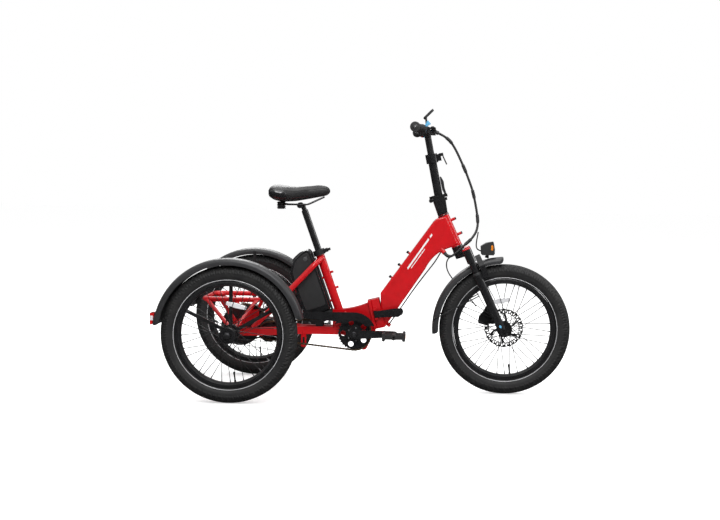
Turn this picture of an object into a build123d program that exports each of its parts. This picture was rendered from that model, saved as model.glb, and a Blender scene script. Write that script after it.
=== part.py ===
from build123d import *
import math
import os

# Adult tricycle with a folding step-through frame, two driven rear wheels and one steered front wheel.
# Row frame: +X forward, +Y to the rider's left, +Z up, ground at Z = 0, the origin under the middle of
# the whole length.  Millimetres.  Side views are drawn forward of the rear axle and up from the ground.

# Wheels
tyre_radius = 265.0
tyre_half_width = 33.0
casing = 5.0
bead_radius = 205.0
rim_half_width = 19.0
rim_inner_radius = 186.0
axle_radius = 10.0
front_axle_radius = 5.0
spoke_radius = 1.3
spokes_per_flange = 18
wheelbase = 1072.0
half_track = 357.5

# Fenders
fender_radius = 295.0
fender_edge_radius = 268.0
fender_half_width = 39.0
fender_wall = 2.6
tail_light_back = -303.0

# The origin lies halfway between the tail lights and the front tyre.
rear_axle_x = -(wheelbase + tyre_radius + tail_light_back) / 2
axle_height = tyre_radius

# Seat tube and seat post: (forward, up) of the tube's top, and how far it leans back in degrees
seat_top = (310.5, 567.5)
seat_lean = 19.8
seat_tube_radius = 17.5
seat_tube_length = 262.0
seat_post_radius = 13.6
seat_post_bottom = -150.0

# Crank axle, crank length and chain line
crank_axle = (464.0, 241.0)
crank_length = 163.0
crank_spindle_radius = 9.0
chain_pitch = 12.7
chain_line = 52.0
drive_chain_line = 60.0
jack_axle = (112.0, 245.0)
chainring_teeth = 32
freewheel_teeth = 16
drive_teeth = 12
axle_sprocket_teeth = 36

# Fold joint of the main frame: a point on the split plane and the pin's lean
fold_point = (541.0, 318.0)
fold_lean = 13.2
fold_pin_left = 45.0
split_gap = 0.15

# Steering axis, fork and suspension
head_middle = (845.0, 662.0)
steering_lean = 24.8
head_half_length = 72.7
head_radius = 22.0
steerer_radius = 14.3
leg_forward = 29.0
leg_left = 60.0
stanchion_radius = 14.0
lower_leg_radius = 17.0
axle_down = -455.6
axle_forward = 39.5

# Handlebar post: the middle of its fold plane and its lean
post_base = (797.0, 795.0)
post_lean = 11.3
outer_post_radius = 17.0
inner_post_radius = 13.5
inner_post_bottom = 74.0
bar_height = 272.0
bar_radius = 11.1
bar_centre_half = 85.0
bar_end = (700.0, 305.0, 1069.0)

cable_radius = 7.0
hose_radius = 2.5


def at(x, y, z):
    """A point given forward of the rear axle, left of the middle and up from the ground."""
    return Vector(rear_axle_x + x, y, z)


def side(left=0.0):
    """The side-view plane at a distance to the left; its normal points to the right."""
    return Plane(at(0, left, 0), x_dir=(1, 0, 0), z_dir=(0, -1, 0))


def plan(height):
    """The view from above at a height: x forward from the rear axle, y to the left."""
    return Plane(at(0, 0, height), x_dir=(1, 0, 0), z_dir=(0, 0, 1))


def across(base, lean, distance=0.0):
    """The plane square to a leaning axis, a distance up it: x forward, y to the left."""
    up = Vector(-math.sin(math.radians(lean)), 0, math.cos(math.radians(lean)))
    forward = Vector(math.cos(math.radians(lean)), 0, math.sin(math.radians(lean)))
    return Plane(at(base[0], 0, base[1]) + up * distance, x_dir=forward, z_dir=up)


def leaning(base, lean, left=0.0):
    """A side-view plane whose own y runs up a leaning axis; its normal points to the right."""
    forward = Vector(math.cos(math.radians(lean)), 0, math.sin(math.radians(lean)))
    return Plane(at(base[0], left, base[1]), x_dir=forward, z_dir=(0, -1, 0))


def on_seat(distance=0.0):
    return across(seat_top, seat_lean, distance)


def on_fold(distance=0.0):
    return across(fold_point, fold_lean, distance)


def on_steering(distance=0.0):
    return across(head_middle, steering_lean, distance)


def on_post(distance=0.0):
    return across(post_base, post_lean, distance)


def spot(plane, forward, left, up=0.0):
    """The point with these coordinates in a plane's own frame."""
    return plane.origin + plane.x_dir * forward + plane.y_dir * left + plane.z_dir * up


def rod(start, end, radius, mode=Mode.ADD):
    """A straight round bar."""
    reach = end - start
    with BuildSketch(Plane(start, z_dir=reach)) as section:
        Circle(radius)
    extrude(section.sketch, amount=reach.length, mode=mode)


def bent_rod(points, corner_radii, radius):
    """A round bar along straight runs joined by tangent arcs."""
    with BuildLine() as route:
        FilletPolyline(*points, radius=corner_radii)
    wire = route.wires()[0]
    with BuildSketch(Plane(wire @ 0, z_dir=wire % 0)) as section:
        Circle(radius)
    sweep(section.sketch, path=wire)
    return wire.length


def barrel(plane, radius, length, forward=0.0, left=0.0, mode=Mode.ADD):
    """A round piece that stands on a plane."""
    with BuildSketch(plane) as section:
        with Locations((forward, left)):
            Circle(radius)
    extrude(section.sketch, amount=length, mode=mode)


def block(plane, size, length, centre=(0.0, 0.0), corner=0.0, mode=Mode.ADD):
    """A block that stands on a plane: size forward and left, rounded at its upright corners."""
    with BuildSketch(plane) as section:
        with Locations(centre):
            if corner:
                RectangleRounded(size[0], size[1], corner)
            else:
                Rectangle(size[0], size[1])
    extrude(section.sketch, amount=length, mode=mode)


def disc(centre, radius, low, high, mode=Mode.ADD):
    """A round piece across the tricycle, from low to high on the left-right axis."""
    with BuildSketch(side(high)) as section:
        with Locations(centre):
            Circle(radius)
    extrude(section.sketch, amount=high - low, mode=mode)


def plate(plane, points, thickness, corner=0.0, mode=Mode.ADD):
    """A plate with a straight-sided outline, extruded along the plane's normal."""
    with BuildSketch(plane) as section:
        with BuildLine():
            Polyline(*points, close=True)
        make_face()
        if corner:
            fillet(section.vertices(), corner)
    extrude(section.sketch, amount=thickness, mode=mode)


def sprocket_radius(teeth):
    """The pitch circle of a chain wheel."""
    return chain_pitch / 2 / math.sin(math.pi / teeth)


def toothed_wheel(centre, teeth, middle, thickness=2.6):
    """A chain wheel's disc, kept just under its chain."""
    disc(centre, sprocket_radius(teeth) - 0.6, middle - thickness / 2, middle + thickness / 2)


def chain_band(centre_a, teeth_a, centre_b, teeth_b, middle):
    """A chain as a plain closed band round two chain wheels."""
    with BuildSketch(side(middle + 4)) as outer:
        with Locations(centre_a):
            Circle(sprocket_radius(teeth_a) + 7)
        with Locations(centre_b):
            Circle(sprocket_radius(teeth_b) + 7)
        make_hull()
    extrude(outer.sketch, amount=8)
    with BuildSketch(side(middle + 4)) as inner:
        with Locations(centre_a):
            Circle(sprocket_radius(teeth_a))
        with Locations(centre_b):
            Circle(sprocket_radius(teeth_b))
        make_hull()
    extrude(inner.sketch, amount=8, mode=Mode.SUBTRACT)


def fender(centre, middle, start, end):
    """A channel-shaped mudguard round a wheel, from one angle to another above straight ahead."""
    a = math.radians(start)
    radial = Vector(math.cos(a), 0, math.sin(a))
    plane = Plane(at(centre[0], middle, centre[1]), x_dir=radial, z_dir=Vector(-math.sin(a), 0, math.cos(a)))
    shoulder = fender_radius - 8
    lip = fender_half_width
    outside = [(fender_edge_radius, -lip), (shoulder, -lip), (fender_radius, -lip + 10),
               (fender_radius, lip - 10), (shoulder, lip), (fender_edge_radius, lip)]
    inside = [(fender_edge_radius, lip - fender_wall), (shoulder - 1.5, lip - fender_wall),
              (fender_radius - fender_wall, lip - 11), (fender_radius - fender_wall, -lip + 11),
              (shoulder - 1.5, -lip + fender_wall), (fender_edge_radius, -lip + fender_wall)]
    with BuildSketch(plane) as section:
        with BuildLine():
            Polyline(*outside, *inside, close=True)
        make_face()
    turn = Axis(at(centre[0], middle, centre[1]), (0, -1, 0))
    revolve(section.sketch, axis=turn, revolution_arc=end - start)


def wheel_ring(centre_x, middle, outline):
    """A ring round a wheel's axle from a half section given as (left of the middle, radius)."""
    plane = Plane(at(centre_x, middle, axle_height), x_dir=(0, 1, 0), z_dir=(1, 0, 0))
    with BuildSketch(plane) as section:
        with BuildLine():
            Polyline(*outline, close=True)
        make_face()
    revolve(section.sketch, axis=Axis(at(centre_x, middle, axle_height), (0, 1, 0)))


def tyre_casing(centre_x, middle):
    """An inflated tyre: a hollow round casing, open to the rim between its two beads."""
    plane = Plane(at(centre_x, middle, axle_height), x_dir=(0, 1, 0), z_dir=(1, 0, 0))
    hollow = tyre_half_width - casing
    with BuildSketch(plane) as section:
        with Locations((0, tyre_radius - tyre_half_width)):
            Circle(tyre_half_width)
            Circle(hollow, mode=Mode.SUBTRACT)
        with Locations((0, bead_radius - 20)):
            Rectangle(80, 40, mode=Mode.SUBTRACT)
        for way in (-1, 1):
            with Locations((way * 13.4, bead_radius - 1.9)):
                Rectangle(4.8, 9.6)
    revolve(section.sketch, axis=Axis(at(centre_x, middle, axle_height), (0, 1, 0)))


def rim_section():
    """A channel rim: two flanges for the tyre's beads and a well between them."""
    w = rim_half_width
    return [(-9, rim_inner_radius), (9, rim_inner_radius), (w, rim_inner_radius + 7), (w, bead_radius),
            (w - 3, bead_radius), (w - 3, rim_inner_radius + 12), (-w + 3, rim_inner_radius + 12),
            (-w + 3, bead_radius), (-w, bead_radius), (-w, rim_inner_radius + 7)]


def spoke_set(centre_x, middle, flange_radius, flange_left):
    """Crossed tangent spokes from two hub flanges to the rim."""
    for flange in (-1, 1):
        for n in range(spokes_per_flange):
            lean = 1 if n % 2 else -1
            hub_angle = 2 * math.pi * (n + (0.5 if flange > 0 else 0)) / spokes_per_flange
            rim_angle = hub_angle + lean * math.radians(42)
            hub_left = flange * (flange_left + lean * 2.7)
            rim_left = flange * 3.0 + lean * 0.8
            reach = rim_inner_radius + 2
            inner = at(centre_x + flange_radius * math.cos(hub_angle), middle + hub_left,
                       axle_height + flange_radius * math.sin(hub_angle))
            outer = at(centre_x + reach * math.cos(rim_angle), middle + rim_left,
                       axle_height + reach * math.sin(rim_angle))
            rod(inner, outer, spoke_radius)


def lengths_of(route):
    """The straight runs between a route's points."""
    return [(b - a).length for a, b in zip(route, route[1:])]


def arc_radii(route):
    """At each inner point, 0.45 of the shorter run divided by the tangent of half the turn."""
    runs = lengths_of(route)
    radii = []
    for a, b, c, before, after in zip(route, route[1:], route[2:], runs, runs[1:]):
        turn = math.radians((b - a).get_angle(c - b))
        radii.append(0.45 * min(before, after) / math.tan(turn / 2))
    return radii


def cord_tube(name, route, radius):
    """A cord's plain tube; prints its arcs' radii, its length and how true its volume is."""
    radii = arc_radii(route)
    with BuildPart() as tube:
        length = bent_rod(route, radii, radius)
    ratio = tube.part.volume / (math.pi * radius ** 2 * length)
    print(name, "length", round(length, 1), "volume ratio", round(ratio, 4),
          "runs", [round(r) for r in lengths_of(route)], "radii", [round(r) for r in radii])
    tube.part.label = name
    export_step(tube.part, f"parts/{name}.step")


os.makedirs("parts", exist_ok=True)

# ---------------------------------------------------------------------------------------------
# Rear half of the frame: lower beam, seat tube, stays, rails, axle tubes, platform and fold flange
# ---------------------------------------------------------------------------------------------
rail_low = 232.0
rail_high = 264.0
axle_tube_radius = 19.0
axle_tube_inner = 95.0
axle_tube_outer = 296.0
bearing_radius = 21.0
bearing_width = 12.0
platform_height = 378.0
platform_front = 85.0
platform_back = -140.0
platform_left = 135.0
basket_hole_radius = 3.3
basket_hole_x = (-112.0, 57.0)
basket_hole_y = 108.0
guard_left = -75.5

with BuildPart() as rear_frame:
    with BuildSketch(side(24)):
        with BuildLine():
            top = Spline((372, 334), (449, 341), (526, 368))
            Polyline(top @ 1, (552, 262), (520, 230), (464, 219), (404, 232), (372, 262), top @ 0)
        make_face()
    extrude(amount=48)
    block(on_fold(-60), (14, 72), 120, centre=(-7 - split_gap, 0), corner=4)
    barrel(on_seat(-seat_tube_length), seat_tube_radius, seat_tube_length)
    disc(crank_axle, 22, -36, 36)
    for way in (-1, 1):
        outer_edge = [(402, way * 34), (250, way * 36), (78, way * 125), (-12, way * 125)]
        inner_edge = [(-12, way * 103), (70, way * 103), (244, way * 14), (402, way * 14)]
        plate(plan(rail_low), outer_edge + inner_edge, rail_high - rail_low)
        stay = [at(324, way * 14, 542), at(300, way * 62, 520), at(56, way * 113, 262)]
        bent_rod(stay, 30, 11)
        low, high = sorted((way * axle_tube_inner, way * axle_tube_outer))
        disc((0, axle_height), axle_tube_radius, low, high)
        for edge in (axle_tube_inner, axle_tube_outer - bearing_width):
            low, high = sorted((way * edge, way * (edge + bearing_width)))
            disc((0, axle_height), 32, low, high)
        loop = [at(platform_front, 0, platform_height), at(platform_front, way * platform_left, platform_height),
                at(platform_back, way * platform_left, platform_height), at(platform_back, 0, platform_height)]
        bent_rod(loop, 35, 10)
        rod(at(-130, way * 125, platform_height), at(-8, way * 284, 282), 8)
        rod(at(75, way * 125, platform_height), at(12, way * 284, 280), 8)
        rod(at(-70, way * 135, platform_height), at(-4, way * 112, 272), 8)
        rod(at(platform_front, way * 84, platform_height), at(165, way * 84, 378), 8)
        for x in basket_hole_x:
            block(plan(platform_height - 2), (34, 36), 4, centre=(x, way * (platform_left - 26)), corner=5)
            barrel(plan(platform_height - 3), basket_hole_radius, 6, x, way * basket_hole_y, mode=Mode.SUBTRACT)
    rod(at(178, -50, 248), at(178, 50, 248), 9)
    bent_rod([at(470, 0, 224), at(499, 0, 161), at(546, 0, 262)], 9, 6)
    plate(side(-30), [(244, 178), (265, 178), (265, 236), (244, 236)], 4, corner=6)
    plate(side(-29), [(250, 186), (259, 186), (259, 220), (250, 220)], 6, corner=4, mode=Mode.SUBTRACT)
    for distance in (-94.4, -160.7):
        rod(spot(on_seat(distance), 12, 0), spot(on_seat(distance), 29, 0), 5)
    for distance in (-40, -106, -205):
        rod(spot(on_seat(distance), -12, 0), spot(on_seat(distance), -22, 0), 5)
    # Fold knuckles on the left, latch keeper on the right, chain guard and caliper brackets
    for low in (-52, 21):
        barrel(on_fold(low), 8, 31, 0, fold_pin_left)
        block(on_fold(low), (8, 12), 31, centre=(-4 - split_gap, 37.5))
    rod(at(424, -20, 324), at(424, guard_left, 324), 4)
    plate(side(-93), [(-14, 262), (14, 262), (76, 300), (80, 335), (52, 335)], 4)
    # Bores: seat post, crank bearing, axle tubes and their bearing seats, fold pin
    barrel(on_seat(-290), seat_post_radius + 0.05, 300, mode=Mode.SUBTRACT)
    disc(crank_axle, 16, -40, 40, mode=Mode.SUBTRACT)
    for way in (-1, 1):
        low, high = sorted((way * 90, way * 300))
        disc((0, axle_height), 15, low, high, mode=Mode.SUBTRACT)
        for edge in (axle_tube_inner, axle_tube_outer - bearing_width):
            low, high = sorted((way * edge, way * (edge + bearing_width)))
            disc((0, axle_height), bearing_radius, low, high, mode=Mode.SUBTRACT)
rear_frame.part.label = "rear_frame"
export_step(rear_frame.part, "parts/rear_frame.step")

with BuildPart() as bearings:
    for way in (-1, 1):
        for edge in (axle_tube_inner, axle_tube_outer - bearing_width):
            low, high = sorted((way * edge, way * (edge + bearing_width)))
            disc((0, axle_height), bearing_radius, low, high)
            disc((0, axle_height), axle_radius + 0.05, low, high, mode=Mode.SUBTRACT)
        low, high = sorted((way * 20, way * 36))
        disc(crank_axle, 16, low, high)
        disc(crank_axle, crank_spindle_radius + 0.05, low, high, mode=Mode.SUBTRACT)
bearings.part.label = "bearings"
export_step(bearings.part, "parts/bearings.step")

collar_bolt_forward = 30.0
collar_cam_left = 16.0

with BuildPart() as seat_collar:
    barrel(on_seat(-14), 24, 23)
    block(on_seat(-11), (20, 22), 16, centre=(27, 0))
    barrel(on_seat(-14.5), seat_tube_radius, 14.5, mode=Mode.SUBTRACT)
    barrel(on_seat(-2), seat_post_radius + 0.1, 12, mode=Mode.SUBTRACT)
    block(on_seat(-15), (40, 3), 26, centre=(30, 0), mode=Mode.SUBTRACT)
    rod(spot(on_seat(-3), collar_bolt_forward, -16), spot(on_seat(-3), collar_bolt_forward, 8), 3)
seat_collar.part.label = "seat_collar"
export_step(seat_collar.part, "parts/seat_collar.step")

with BuildPart() as seat_clamp_lever:
    barrel(on_seat(-8), 4.5, 10, collar_bolt_forward, collar_cam_left)
    block(on_seat(-8), (17, 9), 10, centre=(collar_bolt_forward + 8.5, collar_cam_left))
    block(on_seat(-8), (6, 46), 10, centre=(44, -2.5), corner=2.5)
seat_clamp_lever.part.label = "seat_clamp_lever"
export_step(seat_clamp_lever.part, "parts/seat_clamp_lever.step")

# ---------------------------------------------------------------------------------------------
# Battery, its rail and its dock
# ---------------------------------------------------------------------------------------------
battery_half_width = 42.0
battery_outline = [(-28.4, -238), (-28.4, 2), (-37, 25), (-58, 24), (-106, 1), (-140, -42), (-138, -238)]

with BuildPart() as battery:
    plate(leaning(seat_top, seat_lean, battery_half_width), battery_outline, 2 * battery_half_width, corner=6)
    fillet(battery.faces().filter_by(Axis.Y).edges(), 5)
battery.part.label = "battery"
export_step(battery.part, "parts/battery.step")

with BuildPart() as battery_dock:
    plate(leaning(seat_top, seat_lean, 40), [(-38, -272), (-28, -245), (-28, -238.5), (-136, -238.5), (-120, -268),
                                                (-86, -279)], 80, corner=3)
    block(on_seat(-250), (6, 36), 232, centre=(-25, 0), corner=2)
    for way in (-1, 1):
        block(plan(rail_high), (30, 12), 32, centre=(318, way * 24))
    rod(at(300, -30, 304), at(300, guard_left, 304), 3.5)
battery_dock.part.label = "battery_dock"
export_step(battery_dock.part, "parts/battery_dock.step")

# ---------------------------------------------------------------------------------------------
# Drive: crank, chains, jackshaft, motor, differential and rear brake
# ---------------------------------------------------------------------------------------------
crank_low = 84.0
crank_high = 98.0
pedal_spindle_radius = 5.0
pedal_inner = 104.0
pedal_outer = 200.0


def crank_arm(way):
    """One crank arm with its pedal spindle: the right one points forward, the left one back."""
    reach = crank_axle[0] - way * crank_length
    low, high = sorted((way * crank_low, way * crank_high))
    with BuildSketch(side(high)) as arm:
        with Locations(crank_axle):
            Circle(18)
        with Locations((reach, crank_axle[1] + 4)):
            Circle(12)
        make_hull()
    extrude(arm.sketch, amount=high - low)
    low, high = sorted((way * crank_high, way * (pedal_outer - 6)))
    disc((reach, crank_axle[1] + 4), pedal_spindle_radius, low, high)


with BuildPart() as crankset_right:
    crank_arm(-1)
    disc(crank_axle, crank_spindle_radius, -90, 86)
    toothed_wheel(crank_axle, chainring_teeth, -chain_line, 4)
    disc(crank_axle, 30, -86, -chain_line)
    for n in range(5):
        turn = 2 * math.pi * (n + 0.5) / 5
        spot_xz = (crank_axle[0] + 46 * math.cos(turn), crank_axle[1] + 46 * math.sin(turn))
        disc(spot_xz, 11, -chain_line - 4, -chain_line + 4, mode=Mode.SUBTRACT)
crankset_right.part.label = "crankset_right"
export_step(crankset_right.part, "parts/crankset_right.step")

with BuildPart() as crank_left:
    crank_arm(1)
    disc(crank_axle, crank_spindle_radius, 80, 86, mode=Mode.SUBTRACT)
crank_left.part.label = "crank_left"
export_step(crank_left.part, "parts/crank_left.step")

for name, way in (("pedal_right", -1), ("pedal_left", 1)):
    with BuildPart() as pedal:
        centre = (crank_axle[0] - way * crank_length, crank_axle[1] + 4)
        low, high = sorted((way * pedal_inner, way * pedal_outer))
        disc(centre, 11, low, high)
        for across_x in (-1, 1):
            x = centre[0] + across_x * 40
            plate(side(high), [(x - 6, centre[1] - 15), (x + 6, centre[1] - 15), (x + 6, centre[1] + 15),
                               (x - 6, centre[1] + 15)], high - low, corner=3)
        for left in (low + 10, (low + high) / 2, high - 10):
            plate(side(left + 4), [(centre[0] - 40, centre[1] - 9), (centre[0] + 40, centre[1] - 9),
                                   (centre[0] + 40, centre[1] + 9), (centre[0] - 40, centre[1] + 9)], 8)
        disc(centre, pedal_spindle_radius + 0.08, low, high, mode=Mode.SUBTRACT)
    pedal.part.label = name
    export_step(pedal.part, f"parts/{name}.step")

with BuildPart() as chains:
    chain_band(crank_axle, chainring_teeth, jack_axle, freewheel_teeth, -chain_line)
    chain_band((0, axle_height), axle_sprocket_teeth, jack_axle, drive_teeth, drive_chain_line)
chains.part.label = "chains"
export_step(chains.part, "parts/chains.step")

guard_outer = 88.0
guard_inner = 54.0

with BuildPart() as chain_guard:
    with BuildSketch(side(guard_left)) as guard:
        with Locations(crank_axle):
            Circle(guard_outer)
        with BuildLine():
            Polyline((247, 301), (255, 328), (crank_axle[0], crank_axle[1] + guard_outer),
                     (crank_axle[0], crank_axle[1] + 30), (400, 290), close=True)
        make_face()
        with Locations(crank_axle):
            Circle(guard_inner, mode=Mode.SUBTRACT)
        with BuildLine():
            Polyline((300, 120), (300, 262), (crank_axle[0] - 60, 285), (crank_axle[0] + 40, crank_axle[1] + 33),
                     (600, crank_axle[1] + 33), (600, 120), close=True)
        make_face(mode=Mode.SUBTRACT)
    extrude(amount=2.5)
chain_guard.part.label = "chain_guard"
export_step(chain_guard.part, "parts/chain_guard.step")

motor_radius = 48.0
motor_half_width = 40.0
jackshaft_radius = 6.0

with BuildPart() as drive_motor:
    disc(jack_axle, motor_radius, -motor_half_width, motor_half_width)
    plate(side(30), [(140, 240), (168.6, 240), (168.6, 256), (140, 256)], 60)
    disc(jack_axle, jackshaft_radius + 0.1, -motor_half_width, motor_half_width, mode=Mode.SUBTRACT)
    fillet(drive_motor.edges().filter_by(GeomType.CIRCLE).group_by(SortBy.RADIUS)[-1], 4)
drive_motor.part.label = "drive_motor"
export_step(drive_motor.part, "parts/drive_motor.step")

with BuildPart() as jackshaft:
    disc(jack_axle, jackshaft_radius, -chain_line - 6, drive_chain_line + 5)
    toothed_wheel(jack_axle, freewheel_teeth, -chain_line)
    disc(jack_axle, 22, -chain_line - 5, -motor_half_width - 3)
    toothed_wheel(jack_axle, drive_teeth, drive_chain_line)
    disc(jack_axle, 14, motor_half_width + 3, drive_chain_line)
jackshaft.part.label = "jackshaft"
export_step(jackshaft.part, "parts/jackshaft.step")

rotor_radius = 80.0
rear_rotor_left = -66.0

with BuildPart() as differential:
    disc((0, axle_height), 42, -33, 33)
    disc((0, axle_height), 26, rear_rotor_left, drive_chain_line)
    toothed_wheel((0, axle_height), axle_sprocket_teeth, drive_chain_line)
    disc((0, axle_height), rotor_radius, rear_rotor_left - 1, rear_rotor_left + 1)
    for n in range(6):
        turn = 2 * math.pi * n / 6
        window = (50 * math.cos(turn), axle_height + 50 * math.sin(turn))
        disc(window, 12, rear_rotor_left - 3, rear_rotor_left + 3, mode=Mode.SUBTRACT)
        disc(window, 12, drive_chain_line - 3, drive_chain_line + 3, mode=Mode.SUBTRACT)
    disc((0, axle_height), axle_radius + 0.05, -70, 70, mode=Mode.SUBTRACT)
differential.part.label = "differential"
export_step(differential.part, "parts/differential.step")

with BuildPart() as rear_caliper:
    plate(side(-52), [(34, 312), (64, 300), (88, 326), (66, 350), (44, 346)], 37, corner=5)
    plate(side(-61), [(30, 290), (100, 290), (100, 360), (30, 360)], 10, mode=Mode.SUBTRACT)
    plate(side(-60), [(50, 336), (78, 318), (88, 326), (66, 350)], 12)
    for x, z in ((62, 322), (74, 318)):
        disc((x, z), 4, -93, -88)
rear_caliper.part.label = "rear_caliper"
export_step(rear_caliper.part, "parts/rear_caliper.step")

# ---------------------------------------------------------------------------------------------
# Rear wheels on their half shafts, rear fenders, fender stays and tail lights
# ---------------------------------------------------------------------------------------------
rear_flange = 29.0
rear_flange_radius = 33.0
hub_outer = 53.0
rear_fender_start = 13.2
rear_fender_end = 173.4

for hand, way in (("right", -1), ("left", 1)):
    middle = way * half_track
    with BuildPart() as rear_tyre:
        tyre_casing(0, middle)
    rear_tyre.part.label = f"rear_tyre_{hand}"
    export_step(rear_tyre.part, f"parts/rear_tyre_{hand}.step")

    with BuildPart() as rear_rim:
        wheel_ring(0, middle, rim_section())
    rear_rim.part.label = f"rear_rim_{hand}"
    export_step(rear_rim.part, f"parts/rear_rim_{hand}.step")

    with BuildPart() as rear_hub:
        low, high = sorted((way * 5, middle + way * hub_outer))
        disc((0, axle_height), axle_radius, low, high)
        disc((0, axle_height), 18, middle - rear_flange - 2, middle + rear_flange + 2)
        for flange in (-1, 1):
            disc((0, axle_height), rear_flange_radius, middle + flange * rear_flange - 1.6,
                 middle + flange * rear_flange + 1.6)
        low, high = sorted((middle + way * (rear_flange + 2), middle + way * (hub_outer - 6)))
        disc((0, axle_height), 15, low, high)
    rear_hub.part.label = f"rear_hub_{hand}"
    export_step(rear_hub.part, f"parts/rear_hub_{hand}.step")

    with BuildPart() as rear_spokes:
        spoke_set(0, middle, rear_flange_radius - 3, rear_flange)
    rear_spokes.part.label = f"rear_spokes_{hand}"
    export_step(rear_spokes.part, f"parts/rear_spokes_{hand}.step")

    with BuildPart() as rear_fender:
        fender((0, axle_height), middle, rear_fender_start, rear_fender_end)
    rear_fender.part.label = f"rear_fender_{hand}"
    export_step(rear_fender.part, f"parts/rear_fender_{hand}.step")

stay_angles = (29.7, 90.0, 154.4)
stay_left = half_track - fender_half_width - 4.3

with BuildPart() as fender_stays:
    for way in (-1, 1):
        low, high = sorted((way * axle_tube_outer, way * (stay_left + 4)))
        disc((0, axle_height), 34, low, high)
        low, high = sorted((way * stay_left, way * (stay_left + 4)))
        for angle in stay_angles:
            outward = Vector(math.cos(math.radians(angle)), 0, math.sin(math.radians(angle)))
            plane = Plane(at(0, high, axle_height), x_dir=outward, z_dir=(0, -1, 0))
            plate(plane, [(20, -7), (fender_edge_radius + 14, -7), (fender_edge_radius + 14, 7), (20, 7)], 4)
        low, high = sorted((way * axle_tube_outer, way * (stay_left + 4)))
        disc((0, axle_height), axle_radius + 3, low, high, mode=Mode.SUBTRACT)
fender_stays.part.label = "fender_stays"
export_step(fender_stays.part, "parts/fender_stays.step")

with BuildPart() as tail_lights:
    for way in (-1, 1):
        plate(side(way * half_track + 23), [(tail_light_back, 300), (tail_light_back, 345), (-285.4, 345),
                                            (-294.4, 300)], 46, corner=2)
tail_lights.part.label = "tail_lights"
export_step(tail_lights.part, "parts/tail_lights.step")

# ---------------------------------------------------------------------------------------------
# Front half of the frame: fold flange, deep beam and head tube, and the fold latch
# ---------------------------------------------------------------------------------------------
beam_half_width = 25.0
latch_pivot = (7.5, -46.0)
gland = at(824, -28, 572)
gland_way = Vector(10, -8, -12).normalized()

with BuildPart() as front_frame:
    with BuildSketch(side(beam_half_width)):
        with BuildLine():
            upper = Line((566, 404), (752, 664))
            shoulder = Spline(upper @ 1, (771, 691), (803, 716), tangents=[upper % 1, (0.98, 0.2)])
            Polyline(shoulder @ 1, (826, 722), (878, 610), (858, 597))
            belly = Spline((858, 597), (808, 577), (746, 505))
            Polyline(belly @ 1, (588, 268), (570, 268), upper @ 0)
        make_face()
    extrude(amount=2 * beam_half_width)
    fillet(front_frame.faces().filter_by(Axis.Y).edges(), 8)
    block(on_fold(-60), (33, 72), 120, centre=(16.5 + split_gap, 0), corner=4)
    barrel(on_steering(-head_half_length), head_radius, 2 * head_half_length)
    for distance in (38.3, -24.8):
        rod(spot(on_steering(distance), 18, 0), spot(on_steering(distance), 38, 0), 6)
    for x, z in ((683, 566), (648, 515), (613, 465)):
        rod(at(x, 0, z), at(x - 9.1, 0, z + 6.2), 4.5)
    barrel(on_fold(-20), 8, 40, 0, fold_pin_left)
    block(on_fold(-20), (8, 12), 40, centre=(4 + split_gap, 37.5))
    for low in (-22, 16):
        block(on_fold(low), (13, 18), 6, centre=(latch_pivot[0], -44), corner=3)
    barrel(on_fold(-22), 3, 44, latch_pivot[0], latch_pivot[1])
    # Cable glands: the bundle's on the right under the nose, and the frame cable's upper and lower ones
    rod(gland - gland_way * 24, gland, 9)
    rod(at(818, 8, 590), at(808, 8, 572.7), 6)
    rod(at(596.6, 4, 267), at(604.6, 4, 278.5), 8.5)
    barrel(on_steering(-head_half_length - 5), steerer_radius + 3, 2 * head_half_length + 10, mode=Mode.SUBTRACT)
    for low in (-head_half_length, head_half_length - 8):
        barrel(on_steering(low), head_radius, 8)
        barrel(on_steering(low), steerer_radius + 0.1, 8, mode=Mode.SUBTRACT)
front_frame.part.label = "front_frame"
export_step(front_frame.part, "parts/front_frame.step")

with BuildPart() as frame_latch:
    plate(side(-40), [(551, 307), (545, 332), (631, 346), (656, 345), (661, 333), (657, 321), (640, 311)], 12,
          corner=3)
    barrel(on_fold(-13.5), 7, 27, *latch_pivot)
    barrel(on_fold(-14), 3.1, 28, *latch_pivot, mode=Mode.SUBTRACT)
frame_latch.part.label = "frame_latch"
export_step(frame_latch.part, "parts/frame_latch.step")

# ---------------------------------------------------------------------------------------------
# Fork: steerer and crown, sprung lowers, front brake, front wheel, fender and headlamp
# ---------------------------------------------------------------------------------------------
crown_low = -116.0
crown_high = -82.0
leg_top = -205.0
dropout_left = 50.0

with BuildPart() as fork_crown:
    barrel(on_steering(crown_high - 4), steerer_radius, 92 - crown_high + 4)
    barrel(on_steering(crown_high), head_radius + 1, 8.7)
    with BuildSketch(on_steering(crown_low)) as arms:
        Circle(24)
        with Locations((leg_forward, -leg_left), (leg_forward, leg_left)):
            Circle(19)
        make_hull()
    extrude(arms.sketch, amount=22)
    barrel(on_steering(crown_low), 24, crown_high - crown_low)
    for way in (-1, 1):
        barrel(on_steering(-150), 18.5, 46, leg_forward, way * leg_left)
        barrel(on_steering(-104), 12, 4, leg_forward, way * leg_left)
        barrel(on_steering(-330), stanchion_radius, 190, leg_forward, way * leg_left)
    rod(spot(on_steering(-98), -4, 30), spot(on_steering(-98), -26, 30), 6)
fork_crown.part.label = "fork_crown"
export_step(fork_crown.part, "parts/fork_crown.step")

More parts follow.
